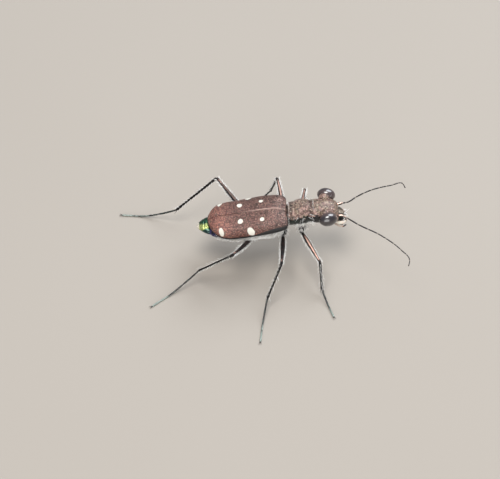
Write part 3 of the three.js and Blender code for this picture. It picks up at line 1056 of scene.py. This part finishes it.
labrum = {
    "rear": 6.5, "front": 7.27, "halfWidth": 0.78, "z": 5.9, "fall": 0.32, "arch": 0.26,
    "thickness": 0.16, "rows": 24, "columns": 40, "teeth": 0.05,
    # Share of the length, then of the half width
    "widths": [(0, 0.95), (0.2, 1.0), (0.45, 0.93), (0.66, 0.78), (0.8, 0.62), (0.92, 0.4),
               (1, 0.15)],
}
mandible = {
    "points": [(6.3, 0.52, 5.02), (6.72, 0.76, 4.98), (7.1, 0.78, 4.96), (7.38, 0.56, 4.95),
               (7.46, 0.14, 4.97)],
    "radii": [(0, 0.2), (0.3, 0.22), (0.6, 0.17), (0.85, 0.1), (1, 0.03)],
    "rings": 40, "around": 18, "flat": 0.8,
    "teeth": [(0.5, 0.26), (0.66, 0.24), (0.8, 0.2)],  # share of the length, then how long
    "toothRadius": 0.07,
}
palps = {
    "maxillary_palp": {
        "points": [(6.3, 0.72, 4.86), (6.7, 0.95, 4.68), (7.15, 0.98, 4.6), (7.46, 0.72, 4.54)],
        "joints": [0.25, 0.42, 0.22, 0.34], "radii": (0.085, 0.07), "waist": 0.55,
    },
    "labial_palp": {
        "points": [(6.3, 0.36, 4.76), (6.62, 0.42, 4.42), (6.92, 0.45, 4.28), (7.16, 0.42, 4.22)],
        "joints": [0.22, 0.45, 0.3], "radii": (0.11, 0.08), "waist": 0.55,
    },
}
mouthColours = seen({"cream": (216, 206, 192), "amber": (120, 76, 54), "tip": (26, 18, 18)})
lipColours = seen({"green": (26, 34, 26), "middle": (104, 90, 76), "rust": (96, 58, 40)})


def mouthFinish():
    # Cream, with dark tips where the kept value "dark" says so
    material, place = newSkin("mouthCuticle")
    tones, dark = mouthColours, kept(place, "dark")
    return finished(material, {
        "Base Color": layered(
            tones["cream"],
            (between(grain(place, 3.0), 0.5, 0.75, 0.0, 0.35), tones["amber"]),
            (between(dark, 0.1, 0.5), tones["amber"]),
            (between(dark, 0.45, 0.7), tones["tip"]),
        ),
        "Roughness": 0.38,
        "Normal": relief(grain(place, 16.0), 0.01, 0.5),
        "Coat Weight": 0.3,
        "Coat Roughness": 0.2,
        "Subsurface Weight": 0.15,
        "Subsurface Scale": 0.1 * mm,
    })


def lipFinish():
    # Dark metallic green, bronze along the middle and rusty towards the sides
    material, place = newSkin("lipCuticle")
    tones = lipColours
    cloud = (grain(place, 3.2) - 0.5) * 0.5
    away = abs(parted(place)[1]) + cloud
    return finished(material, {
        "Base Color": layered(
            tones["middle"],
            (between(away, 0.1, 0.36), tones["green"]),
            (hill(away, 0.42, 0.1) * 0.6, tones["rust"]),
        ),
        "Metallic": 0.4,
        "Roughness": between(cloud, -0.1, 0.1, 0.28, 0.4),
        "Normal": relief(grain(place, 13.0, 4), 0.02, 0.6),
        "Coat Weight": 0.15,
        "Coat Roughness": 0.25,
    })


def labrumShape():
    # A plate that falls and arches, with blunt teeth along its front edge
    angle = turns(labrum["columns"])[None, :]
    share = easedShares(labrum["rows"], 0.08)[:, None]
    length = labrum["front"] - labrum["rear"]
    width = labrum["halfWidth"] * through(labrum["widths"], share[:, 0])
    close = endRounding(np.minimum(share, 1 - share) * length, 0.07)
    narrowed = np.where(close < 1, 0.9 + 0.1 * close, 1)
    y = width * signedPower(np.cos(angle), 0.6) * narrowed
    middle = labrum["z"] - labrum["fall"] * share**1.3 - labrum["arch"] * (y / labrum["halfWidth"]) ** 2
    z = middle + labrum["thickness"] / 2 * np.sin(angle) * close
    teeth = labrum["teeth"] * np.maximum(np.cos(y * 11), 0) * rise(share, 0.8, 1.0)
    x = np.broadcast_to(labrum["rear"] + length * share, y.shape) + teeth
    return sheetShape(np.stack([x, y, z], axis=2), {"dark": 0.35 * rise(share, 0.93, 1.0)})


def jawShapes(side):
    shares = easedShares(mandible["rings"])
    inner = -side * np.cos(turns(mandible["around"]))[None, :]
    dark = np.maximum(rise(shares, 0.62, 0.9)[:, None], rise(inner, -0.1, 0.5))
    jaw = tube(onSide(mandible["points"], side), shares, through(mandible["radii"], shares)[:, 0],
               mandible["around"], 0.03, mandible["flat"], {"dark": dark})
    inward = unit(np.array([0.5, -1.0 * side, 0.0]))
    shapes = [jaw]
    for share, length in mandible["teeth"]:
        root = alongRail(jaw["rail"], "centres", share)
        path = [root, root + inward * length]
        shapes.append(spike(path, mandible["toothRadius"], 8, 0.8, {"dark": 1.0}))
    return shapes


def buildMouth():
    material = mouthFinish()
    addPiece("labrumPlate", meshFrom("labrum", [labrumShape()]), lipFinish(), ["labrum"])
    for sideName, side in bothSides.items():
        jaw = meshFrom("jaw", jawShapes(side))
        addPiece(f"jaw_{sideName}", jaw, material, [f"mandible_{sideName}"])
        for name, palp in palps.items():
            shares, radii = jointed(palp)
            dark = 0.3 + 0.7 * rise(shares, 0.6, 0.8)[:, None]
            limb = tube(onSide(palp["points"], side), shares, radii, 14, 0.03, values={"dark": dark})
            addPiece(f"{name}_{sideName}_joints", meshFrom(name, [limb]), material,
                     [f"{name}_{sideName}"])


# Feelers: a stout first joint, then ten slender ones

feeler = {
    "scape": [(6.35, 0.58, 5.88), (6.75, 0.74, 6.0), (7.15, 0.8, 6.03)],
    "scapeRadii": [(0, 0.09), (0.2, 0.12), (0.7, 0.14), (1, 0.11)],
    "joints": [0.35, 1.15, 0.95, 0.85, 0.8, 0.75, 0.7, 0.62, 0.56, 0.5],
    "radii": (0.08, 0.052),
    "waist": 0.55,
    "pale": [1.0, 0.8, 0, 0, 0, 0, 0, 0.9],  # along each joint
    "left": [(7.1, 0.8, 6.03), (7.75, 0.84, 6.12), (8.42, 1.2, 6.3), (10.0, 1.95, 6.42),
             (12.1, 2.58, 6.3), (13.3, 2.98, 6.0), (13.56, 2.68, 5.65)],
    "right": [(7.1, -0.8, 6.03), (7.6, -1.25, 6.1), (8.5, -2.1, 6.2), (10.6, -3.65, 6.3),
              (12.4, -5.25, 6.0), (13.2, -6.3, 5.65), (13.05, -6.9, 5.42)],
}
feelerColours = seen({
    "copper": (236, 202, 184),
    "under": (40, 16, 12),
    "brown": (30, 25, 25),
    "joint": (150, 140, 128),
})


def feelerFinish():
    # Metallic on the first joints, with a painted coppery highlight along their top over a darker
    # underside, dull brown beyond, a pale ring at each joint
    material, place = newSkin("feelerCuticle")
    tones = feelerColours
    cloud = (grain(place, 4.0) - 0.5) * 0.3
    dull = between(kept(place, "along") + cloud, 0.01, 0.04)
    above = kept(place, "dorsal") + cloud
    return finished(material, {
        "Base Color": layered(
            tones["under"],
            # painted highlight along the top
            (between(above, 0.55, 0.85), tones["copper"]),
            (dull, tones["brown"]),
            (kept(place, "joint") * 0.8, tones["joint"]),
        ),
        "Metallic": between(dull, 0.0, 1.0, 0.7, 0.15),
        "Roughness": between(dull, 0.0, 1.0, 0.3, 0.5),
        "Normal": relief(grain(place, 18.0), 0.01, 0.6),
        "Coat Weight": 0.15,
        "Coat Roughness": 0.3,
    })


def buildFeelers():
    material, rails = feelerFinish(), []
    for sideName, side in bothSides.items():
        shares = easedShares(26)
        radii = through(feeler["scapeRadii"], shares)[:, 0]
        scape = tube(onSide(feeler["scape"], side), shares, radii, 18, 0.08,
                     values={"along": 0.0}, cell=(0, side > 0, 2))
        addPiece(f"feelerRoot_{sideName}", meshFrom("scape", [scape]), material,
                 [f"scape_{sideName}"])
        shares, radii = jointed(feeler)
        pale = np.tile(feeler["pale"], len(feeler["joints"]))[:, None]
        lash = tube(feeler[sideName], shares, radii, 12, 0.03,
                    values={"joint": pale}, cell=(1, side > 0, 2))
        addPiece(f"feeler_{sideName}", meshFrom("feeler", [lash]), material,
                 [f"antenna_{sideName}"])
        rails += [scape["rail"], lash["rail"]]
    return rails


# Legs: the sizes of each pair, then each leg's pose. A direction is a heading
# in the ground plane, from straight ahead out to the leg's own side, and a rise.

legPairs = {
    "front": {"coxa": (3.1, 0.72, 4.42), "coxaSize": (0.86, 0.82, 1.1), "hip": (3.0, 1.05, 4.15),
              "femur": 3.9, "tibia": 3.05, "tarsus": 3.2, "girth": 0.92},
    "middle": {"coxa": (1.2, 0.82, 3.98), "coxaSize": (0.92, 0.96, 0.9), "hip": (1.2, 1.1, 3.7),
               "femur": 4.35, "tibia": 3.95, "tarsus": 4.66, "girth": 0.96},
    "hind": {"coxa": (-1.7, 0.85, 3.9), "coxaSize": (1.05, 1.3, 0.8), "hip": (-1.9, 1.15, 3.6),
             "femur": 5.35, "tibia": 5.75, "tarsus": 5.8, "girth": 1.0},
}
# Directions of femur and tibia, heading of the tarsus, how far femur and tarsus
# bow sideways, and how clear the painted coppery highlight along the femur's top is
legPoses = {
    "front_left": ((78.9, -9.6), (-88.4, -65.9), 32.5, 0, 0.1, 0.7),
    "front_right": ((64.8, -9.1), (82.2, -66.8), 71.8, 0, 0, 1),
    "middle_left": ((93, 14.3), (112.1, -67.7), -150, -0.18, 0.1, 0.7),
    "middle_right": ((95.5, 11.9), (132.4, -57), 101.7, 0.04, 0.1, 0.0),
    "hind_left": ((130.3, 23.6), (-170.2, -43.4), 170, 0, -0.12, 0.2),
    "hind_right": ((117.2, 29.4), (-152, -50.7), 148.6, 0.12, 0.16, 0.0),
}
# Share of the length, then the radius
femurRadii = [(0, 0.1), (0.05, 0.15), (0.14, 0.2), (0.34, 0.24), (0.6, 0.21), (0.85, 0.15),
              (0.93, 0.145), (0.975, 0.165), (1, 0.13)]
tibiaRadii = [(0, 0.1), (0.03, 0.138), (0.1, 0.132), (0.5, 0.128), (0.9, 0.132), (0.97, 0.15),
              (1, 0.12)]
foot = {"joints": [0.36, 0.2, 0.15, 0.11, 0.18], "radii": (0.098, 0.09), "waist": 0.62,
        "soleZ": 0.1, "landing": 0.66}
claws = {"length": 0.32, "radius": 0.036, "spread": 24, "hook": 0.1, "root": 0.05, "droop": 0.035}
spurs = {"length": 0.55, "radius": 0.032, "spread": 0.3, "droop": 0.2, "back": 0.12, "aside": 0.07}
hipBall = (0.42, 0.36, 0.36)
legColours = seen({
    "black": (16, 13, 14),
    "copper": (190, 152, 138),
    "bronze": (58, 36, 32),
    "green": (24, 44, 38),
    "turquoise": (138, 150, 142),
})


def legFinish():
    # "thigh" is 1 on the femur, "dorsal" runs from -1 below to 1 above
    material, place = newSkin("legCuticle")
    tones = legColours
    along, thigh = kept(place, "along"), kept(place, "thigh")
    cloud = grain(place, 3.0) - 0.5
    above = kept(place, "dorsal") + cloud * 0.3
    # A coppery band along the femur's top and over its knee: a painted highlight
    lengthways = between(along, 0.12, 0.28) * between(along, 0.98, 0.9)
    knee = between(along, 0.84, 0.9) * between(along, 0.99, 0.95)
    shown = number("MAXIMUM", kept(place, "stripe"), knee * 0.7)
    stripe = between(above, 0.84, 0.97) * lengthways * shown
    return finished(material, {
        "Base Color": layered(
            tones["black"],
            (between(cloud, 0.0, 0.2), tones["bronze"]),
            (stripe * thigh, tones["copper"]),
            ((1.0 - thigh) * between(cloud, -0.02, 0.14, 0.0, 0.5), tones["green"]),
        ),
        "Metallic": stripe * 0.5,
        "Specular IOR Level": 0.2,
        "Roughness": between(cloud, -0.2, 0.2, 0.3, 0.42),
        "Normal": relief(cells(place, 15.0)[0], 0.01, 0.7),
        "Coat Weight": 0.03,
        "Coat Roughness": 0.2,
    })


def footFinish():
    material, place = newSkin("footCuticle")
    tones = legColours
    cloud = grain(place, 2.4) - 0.5
    far = kept(place, "along") + cloud
    return finished(material, {
        "Base Color": layered(
            tones["black"],
            (between(cloud, -0.05, 0.2), tones["green"]),
            (between(far, 0.45, 0.9, 0.0, 0.9), tones["turquoise"]),
            (kept(place, "dark"), tones["black"]),
        ),
        "Metallic": 0.25,
        "Roughness": 0.32,
        "Normal": relief(grain(place, 14.0), 0.012, 0.6),
        "Coat Weight": 0.08,
        "Coat Roughness": 0.2,
    })


def aim(heading, tilt, side):
    turn, lift = math.radians(heading), math.radians(tilt)
    return np.array([math.cos(turn) * math.cos(lift), side * math.sin(turn) * math.cos(lift),
                     math.sin(lift)])


def footPath(ankle, length, ahead, bow):
    # Down from the ankle, then along the ground to the claws
    drop = ankle[2] - foot["soleZ"]
    run = math.sqrt(length**2 - drop**2)
    points = []
    for share in np.linspace(0, 1, 7):
        point = ankle + ahead * run * share + bow * math.sin(math.pi * share)
        point[2] = foot["soleZ"] + drop * max(0, 1 - share / foot["landing"]) ** 1.5
        points.append(point)
    return points


def spurShapes(ankle, along):
    acrossWay = unit(np.cross(up, along))
    shapes = []
    for turn in (-1, 1):
        way = unit(along + acrossWay * spurs["spread"] * turn - up * spurs["droop"])
        root = ankle - along * spurs["back"] + acrossWay * spurs["aside"] * turn
        path = [root, root + way * spurs["length"]]
        shapes.append(spike(path, spurs["radius"], 10, 0.8, {"thigh": 0.0}))
    return shapes


def clawShapes(toe, ahead):
    length, shapes = claws["length"], []
    for turn in (-1, 1):
        angle = math.radians(turn * claws["spread"])
        way = np.array([ahead[0] * math.cos(angle) - ahead[1] * math.sin(angle),
                        ahead[0] * math.sin(angle) + ahead[1] * math.cos(angle), 0])
        path = [toe - ahead * claws["root"], toe + way * length * 0.5 + up * claws["hook"] * 0.5,
                toe + way * length - up * claws["droop"]]
        shapes.append(spike(path, claws["radius"], 14, 0.75, {"dark": 1.0}))
    return shapes


def buildLegs(underside):
    limbMaterial, footMaterial = legFinish(), footFinish()
    rails, hips = {"thigh": [], "shin": [], "foot": []}, {}
    for index, (name, pose) in enumerate(legPoses.items()):
        femurWay, tibiaWay, tarsusHeading, bend, bow, stripe = pose
        pairName, sideName = name.split("_")
        pair, side = legPairs[pairName], bothSides[sideName]
        cell = (index % 5, index // 5 * 2, 5)
        outwards, downwards = aim(*femurWay, side), aim(*tibiaWay, side)
        hip = onSide(pair["hip"], side)
        knee = hip + outwards * pair["femur"]
        ankle = knee + downwards * pair["tibia"]

        sideways = unit(np.cross(up, outwards))
        path = [hip + (knee - hip) * share + sideways * bend * math.sin(math.pi * share)
                for share in np.linspace(0, 1, 5)]
        shares = easedShares(56)
        radii = through(femurRadii, shares)[:, 0] * pair["girth"]
        thigh = tube(path, shares, radii, 20, 0.09, values={"thigh": 1.0, "stripe": stripe}, cell=cell)
        shares = easedShares(48)
        radii = through(tibiaRadii, shares)[:, 0]
        shin = tube([knee, ankle], shares, radii, 16, 0.07, values={"thigh": 0.0}, cell=cell)
        leg = meshFrom("leg", [thigh, shin, *spurShapes(ankle, downwards)])
        addPiece(f"leg_{name}", leg, limbMaterial, [f"femur_{name}", f"tibia_{name}"])

        ahead = aim(tarsusHeading, 0, side)
        aside = np.array([-ahead[1], ahead[0], 0]) * side
        path = footPath(ankle, pair["tarsus"], ahead, aside * bow)
        shares, radii = jointed(foot)
        sole = tube(path, shares, radii, 14, 0.03, values={"dark": 0.0}, cell=cell)
        mesh = meshFrom("foot", [sole, *clawShapes(np.array(path[-1]), ahead)])
        addPiece(f"foot_{name}", mesh, footMaterial, [f"tarsus_{name}"])

        coxa = ellipsoid(onSide(pair["coxa"], side), pair["coxaSize"], 40, 26, {})
        hips[name] = [coxa, ellipsoid(hip + outwards * 0.02, hipBall, 24, 16, {})]
        for part, shape in (("thigh", thigh), ("shin", shin), ("foot", sole)):
            rails[part].append(shape["rail"])
    for name, shapes in hips.items():
        mesh = meshFrom("hip", shapes)
        addPiece(f"hip_{name}", mesh, underside, [f"coxa_{name}"])
    return rails, meshFrom("hipSource", [coxa for coxa, _ in hips.values()])


# White bristles grow from roots by one tree of nodes. A root has a normal, a
# way that the bristle lies, a length and a place on the unwrap of its skin.

bristleInputs = {
    "Geometry": ("Geometry", None),
    "Per Square Metre": ("Float", 1.0),
    "Length": ("Float", 1.0),
    "Length Spread": ("Float", 0.25),
    "Thickness": ("Float", 0.03),
    "Curl": ("Float", 0.2),
    "Wildness": ("Float", 0.15),
    "Seed": ("Int", 1),
    "Material": ("Material", None),
}
bristleCone = {"Vertices": 3, "Side Segments": 4, "Radius Top": 0.12, "Radius Bottom": 1.0,
               "Depth": 1.0}
patchSize = 0.003
spentValues = ["patch", "rootUnwrap", "rootNormal", "lie", "hair", "hairLength", "height"]
bristleColours = seen({"grey": (226, 223, 217), "white": (248, 247, 245)})


def bristleFinish():
    material, place = newSkin("bristles")
    shade = between(grain(place, 2.5), 0.35, 0.65)
    return finished(material, {
        "Base Color": layered(bristleColours["grey"], (shade, bristleColours["white"])),
        "Roughness": 0.36,
        "Normal": relief(grain(place, 30.0, 2), 0.003, 0.4),
        "Sheen Weight": 0.2,
    })


def bristleTree(name, fromSurface):
    tree, given = startTree(name, bristleInputs)

    def named(kind, key):
        return wire(tree, "GeometryNodeInputNamedAttribute", {"Name": key}, data_type=kind)

    def stored(geometry, key, value, kind, domain="POINT"):
        inputs = {"Geometry": geometry, "Name": key, "Value": value}
        return wire(tree, "GeometryNodeStoreNamedAttribute", inputs, data_type=kind, domain=domain)

    def scattered(seedShift):
        inputs = {"Min": (-1, -1, -1), "Max": (1, 1, 1), "Seed": given("Seed") + seedShift}
        return wire(tree, "FunctionNodeRandomValue", inputs, data_type="FLOAT_VECTOR")

    def moved(vector, way, scale):
        inputs = {0: way, "Scale": scale}
        scaled = wire(tree, "ShaderNodeVectorMath", inputs, operation="SCALE")
        return wire(tree, "ShaderNodeVectorMath", {0: vector, 1: scaled}, operation="ADD")

    points = given("Geometry")
    if fromSurface:
        density = named("FLOAT", "hair") * given("Per Square Metre")
        inputs = {"Mesh": points, "Density": density, "Seed": given("Seed")}
        scatter = wire(tree, "GeometryNodeDistributePointsOnFaces", inputs)
        points = stored(scatter, "rootNormal", scatter.also("Normal"), "FLOAT_VECTOR")
        points = stored(points, "rootUnwrap", named("FLOAT_VECTOR", "skinUnwrap"), "FLOAT_VECTOR")

    # One bristle: a thin tapered cone, bent towards the skin
    cone = wire(tree, "GeometryNodeMeshCone", bristleCone, fill_type="TRIANGLE_FAN")
    blank = stored(cone, "patch", cone.also("UV Map"), "FLOAT2", "CORNER")
    x, y, z = parted(wire(tree, "GeometryNodeInputPosition"))
    thickness = given("Thickness")
    inputs = {"X": x * thickness - z * z * given("Curl"), "Y": y * thickness, "Z": z}
    bent = wire(tree, "ShaderNodeCombineXYZ", inputs)
    bristle = wire(tree, "GeometryNodeSetPosition", {"Geometry": blank, "Position": bent})

    lie = moved(named("FLOAT_VECTOR", "lie"), scattered(1), given("Wildness"))
    inputs = {"Primary Axis": lie, "Secondary Axis": named("FLOAT_VECTOR", "rootNormal")}
    turn = wire(tree, "FunctionNodeAxesToRotation", inputs, primary_axis="Z", secondary_axis="X")
    spread = parted(scattered(2))[0] * given("Length Spread") + 1.0
    length = given("Length") * spread * named("FLOAT", "hairLength")
    inputs = {"Points": points, "Instance": bristle, "Rotation": turn, "Scale": length}
    placed = wire(tree, "GeometryNodeInstanceOnPoints", inputs)
    real = wire(tree, "GeometryNodeRealizeInstances", {"Geometry": placed})
    atRoot = moved(named("FLOAT_VECTOR", "rootUnwrap"), named("FLOAT_VECTOR", "patch"), patchSize)
    endTree(stored(real, "OFBake", atRoot, "FLOAT2", "CORNER"), given("Material"))
    return tree


def grow(name, source, tree, settings):
    # Bristles on a source mesh, made plain, with only the bake unwrap left on them
    mesh = madeByTree(source, tree, settings)
    for key in spentValues:
        if key in mesh.attributes:
            mesh.attributes.remove(mesh.attributes[key])
    mesh.uv_layers["OFBake"].active = True
    addPiece(name, mesh, settings["Material"])


# Coats on the flanks, breast and hips

coats = {
    "flankHair": {"Per Square Metre": 2.8e8, "Length": 0.37 * mm, "Length Spread": 0.35,
                  "Thickness": 0.056, "Curl": 0.2, "Wildness": 0.24, "Seed": 11},
    "breastHair": {"Per Square Metre": 1.3e8, "Length": 0.46 * mm, "Length Spread": 0.3,
                   "Thickness": 0.052, "Curl": 0.2, "Wildness": 0.3, "Seed": 23},
    "hipHair": {"Per Square Metre": 0.9e8, "Length": 0.4 * mm, "Length Spread": 0.35,
                "Thickness": 0.052, "Curl": 0.15, "Wildness": 0.35, "Seed": 37},
}


def addLie(mesh, hair, way, lean):
    # Values for a coat: how dense it is, and which way it lies, raised by its lean in degrees
    normals = np.array([corner.normal for corner in mesh.vertices])
    way = np.broadcast_to(np.asarray(way, float), normals.shape)
    flat = way - normals * (normals * way).sum(axis=1)[:, None]
    lean = math.radians(lean)
    setValues(mesh, "hair", hair)
    setValues(mesh, "hairLength", np.ones(len(normals)))
    setValues(mesh, "lie", unit(flat + 1e-6) * math.cos(lean) + normals * math.sin(lean))


def buildCoats(trunkSource, prothoraxSource, hipSource, material):
    tree = bristleTree("bristlesOnSkin", True)
    x, height = placesOn(trunkSource)[:, 0], valuesOn(trunkSource, "height")
    band = rise(height, -0.7, -0.4) * (1 - rise(height, 0.5, 0.75))
    addLie(trunkSource, band * rise(x, -5.4, -4.7) * (1 - rise(x, 1.3, 1.5)), (-1.0, 0.0, -0.2), 15)
    x, height = placesOn(prothoraxSource)[:, 0], valuesOn(prothoraxSource, "height")
    breast = (1 - rise(height, -0.4, -0.15)) * rise(x, 2.3, 2.6)
    sparse = 0.1 * hump(height, 0.3, 0.14) * rise(x, 1.9, 2.1)
    ahead = rise(x, 3.2, 3.8)[:, None]
    way = np.array([-0.4, 0.0, -1.0]) * (1 - ahead) + np.array([1.0, 0.0, -0.3]) * ahead
    addLie(prothoraxSource, np.maximum(breast, sparse), way, 38)
    addLie(hipSource, np.ones(len(hipSource.vertices)), (-0.4, 0.0, -1.0), 30)
    for name, source in zip(coats, (trunkSource, prothoraxSource, hipSource)):
        grow(name, source, tree, {**coats[name], "Material": material})


# Rows along the limbs. "angles" go round the limb, and "from" is where along it a row begins.

rows = {
    "thigh": {"every": 0.13, "length": 0.34, "lean": 42, "from": 0.06,
              "angles": (-0.3, 0.0, 0.3, 2.8, 3.1, 3.45, 4.1, 5.3)},
    "shin": {"every": 0.38, "length": 0.42, "lean": 42, "from": 0.05,
             "angles": (-0.1, 1.6, 3.25, 4.4)},
    "foot": {"every": 0.13, "length": 0.13, "lean": 30, "from": 0.03,
             "angles": (0.2, 1.5, 2.9, 4.2, 5.2)},
    "feeler": {"every": 0.28, "length": 0.1, "lean": 40, "from": 0.05,
               "angles": (0.3, 1.9, 3.4, 5.0)},
}
rowBristle = {"Length": mm, "Length Spread": 0.1, "Thickness": 0.072, "Curl": 0.12,
              "Wildness": 0.08, "Seed": 3}
rootDepth = 0.02  # of a bristle's root in its limb
clearance = 0.02  # of a bristle's end above the ground


def bristle(at, normal, lie, length, place):
    return {"at": at, "rootNormal": unit(np.array(normal, float)),
            "lie": unit(np.array(lie, float)), "hairLength": length, "rootUnwrap": (*place, 0)}


def rootsMesh(roots):
    mesh = bpy.data.meshes.new("roots")
    mesh.from_pydata(inFrame([root["at"] for root in roots]).tolist(), [], [])
    for key in ("rootNormal", "lie", "rootUnwrap", "hairLength"):
        setValues(mesh, key, np.array([root[key] for root in roots]))
    return mesh


def onRail(rail, share, angle, length, lean):
    # A root on a tube at a share of its length and an angle round it, leaning
    # from along it to square out, and set a little into it
    across, upWay = alongRail(rail, "across", share), alongRail(rail, "up", share)
    out = across * math.cos(angle) + upWay * math.sin(angle)
    radius = float(np.interp(share, rail["shares"], rail["radius"]))
    normal = unit(out)
    lie = alongRail(rail, "along", share) * math.cos(lean) + normal * math.sin(lean)
    column, row, count = rail["cell"]
    around = angle / (2 * math.pi) % 1
    place = (column + 0.1 + 0.8 * share) / count, (row + 0.1 + 0.8 * around) / count
    at = alongRail(rail, "centres", share) + out * (radius - rootDepth)
    return bristle(at, normal, lie, length, place)


def rowRoots(rails, row, draw):
    roots = []
    for rail in rails:
        count = int(rail["length"] / row["every"])
        for angle in row["angles"]:
            for share in np.linspace(row["from"], 0.97, count):
                length = row["length"] * draw.uniform(0.7, 1.15)
                lean = math.radians(row["lean"] + draw.uniform(-10, 10))
                share = share + draw.uniform(-0.008, 0.008)
                root = onRail(rail, share, angle + draw.uniform(-0.15, 0.15), length, lean)
                lowest = (clearance - root["at"][2]) / length
                root["lie"][2] = max(root["lie"][2], lowest)
                roots.append(root)
    return roots


def buildRows(rails, feelerRails, tree, material):
    draw = np.random.default_rng(5)
    settings = {**rowBristle, "Material": material}
    thighRoots = rowRoots(rails["thigh"], rows["thigh"], draw)
    legRoots = thighRoots + rowRoots(rails["shin"], rows["shin"], draw)
    grow("legBristles", rootsMesh(legRoots), tree, settings)
    footRoots = rowRoots(rails["foot"], rows["foot"], draw)
    grow("footBristles", rootsMesh(footRoots), tree, settings)
    feelerRoots = rowRoots(feelerRails, rows["feeler"], draw)
    grow("feelerBristles", rootsMesh(feelerRoots), tree, settings)


# Bristles of the face, and the fringes at both rims of the prothorax

faceBristle = {"Length": mm, "Length Spread": 0.15, "Thickness": 0.055, "Curl": 0.1,
               "Wildness": 0.08, "Seed": 9}
# On the lip's front edge: place across it, direction, length
lipBristles = [
    (-0.5, (0.8, 0.2, 0.1), 0.5),
    (-0.34, (0.9, -0.2, 0.2), 0.42),
    (-0.24, (0.3, 0.5, 0.8), 0.6),
    (-0.16, (0.9, 0.5, 0.7), 0.66),
    (-0.06, (0.8, -0.7, 0.1), 0.5),
    (0.08, (0.7, -0.9, 0.2), 0.52),
    (0.24, (1.0, 0.4, 0.3), 0.46),
    (0.42, (0.9, -0.2, 0.4), 0.4),
]
lipEdge = {"x": 7.26, "z": 5.56, "curve": 0.5, "fall": 0.4}
lipThickness = 0.075
palpBristles = {"count": 14, "length": 0.26, "from": (6.4, 0.4, 4.66), "run": (0.7, 0.04, -0.4)}
eyebrows = {"x": (5.35, 5.95), "y": 0.86, "z": 7.06, "length": 0.24}
# A station of the prothorax, which way its fringe leans along the body, and a share of the length
fringes = [(prothorax["stations"][2], -0.9, 1.2), (prothorax["stations"][10], 0.9, 1.0)]
fringeCount = 150


def lipRoots():
    roots = []
    for k, (y, way, length) in enumerate(lipBristles):
        at = (lipEdge["x"] - lipEdge["curve"] * y * y, y, lipEdge["z"] - lipEdge["fall"] * y * y)
        roots.append(bristle(at, (0, 0, 1), way, length, (0.1 + 0.07 * k, 0.1)))
    return roots


def faceRoots(draw):
    roots = []
    for side in bothSides.values():
        for x in eyebrows["x"]:
            at, way = (x, eyebrows["y"] * side, eyebrows["z"]), (0.5, 0.4 * side, 0.8)
            roots.append(bristle(at, (0, 0.3 * side, 1), way, eyebrows["length"], (x / 10, 0.3)))
        for k in range(palpBristles["count"]):
            share = k / (palpBristles["count"] - 1)
            at = onSide(palpBristles["from"] + np.array(palpBristles["run"]) * share, side)
            way = (0.4, draw.uniform(-0.6, 0.9) * side, draw.uniform(-1.0, -0.2))
            roots.append(bristle(at, (0, side, 0), way, palpBristles["length"], (0.1 + 0.05 * k, 0.5)))
    return roots


def fringeRoots(draw):
    roots = []
    for (x, halfWidth, top, waist, belly), lean, longer in fringes:
        for angle in np.linspace(-0.6, math.pi + 0.6, fringeCount):
            normal = np.array([0, math.cos(angle), math.sin(angle)])
            reach = top - waist if normal[2] > 0 else waist - belly
            at = (x + draw.uniform(-0.03, 0.03), normal[1] * (halfWidth - 0.01),
                  waist + normal[2] * (reach - 0.01))
            way = (lean, draw.uniform(-0.3, 0.3), draw.uniform(-0.2, 0.2)) + normal * 0.12
            length = draw.uniform(0.1, 0.16) * longer
            roots.append(bristle(at, normal, way, length, (0.2 + angle / 8, 0.7 + x / 30)))
    return roots


def buildFaceBristles(tree, material):
    draw = np.random.default_rng(8)
    settings = {**faceBristle, "Material": material}
    grow("faceBristles", rootsMesh(faceRoots(draw) + fringeRoots(draw)), tree, settings)
    settings["Thickness"] = lipThickness
    grow("lipBristles", rootsMesh(lipRoots()), tree, settings)


bpy.context.scene.view_settings.view_transform = "Standard"
addCamera()
addLights()
buildFloor()
print("camera, lights and floor are in place")
buildWingCases()
print("wing cases are done")
undersideSkin = undersideFinish()
trunkSource, prothoraxSource = buildBody(undersideSkin)
print("body is done")
buildHead()
buildEyes()
buildMouth()
feelerRails = buildFeelers()
print("head is done")
legRails, hipSource = buildLegs(undersideSkin)
print("legs are done")
white = bristleFinish()
buildCoats(trunkSource, prothoraxSource, hipSource, white)
rowTree = bristleTree("bristlesInRows", False)
buildRows(legRails, feelerRails, rowTree, white)
buildFaceBristles(rowTree, white)
print("bristles are done")
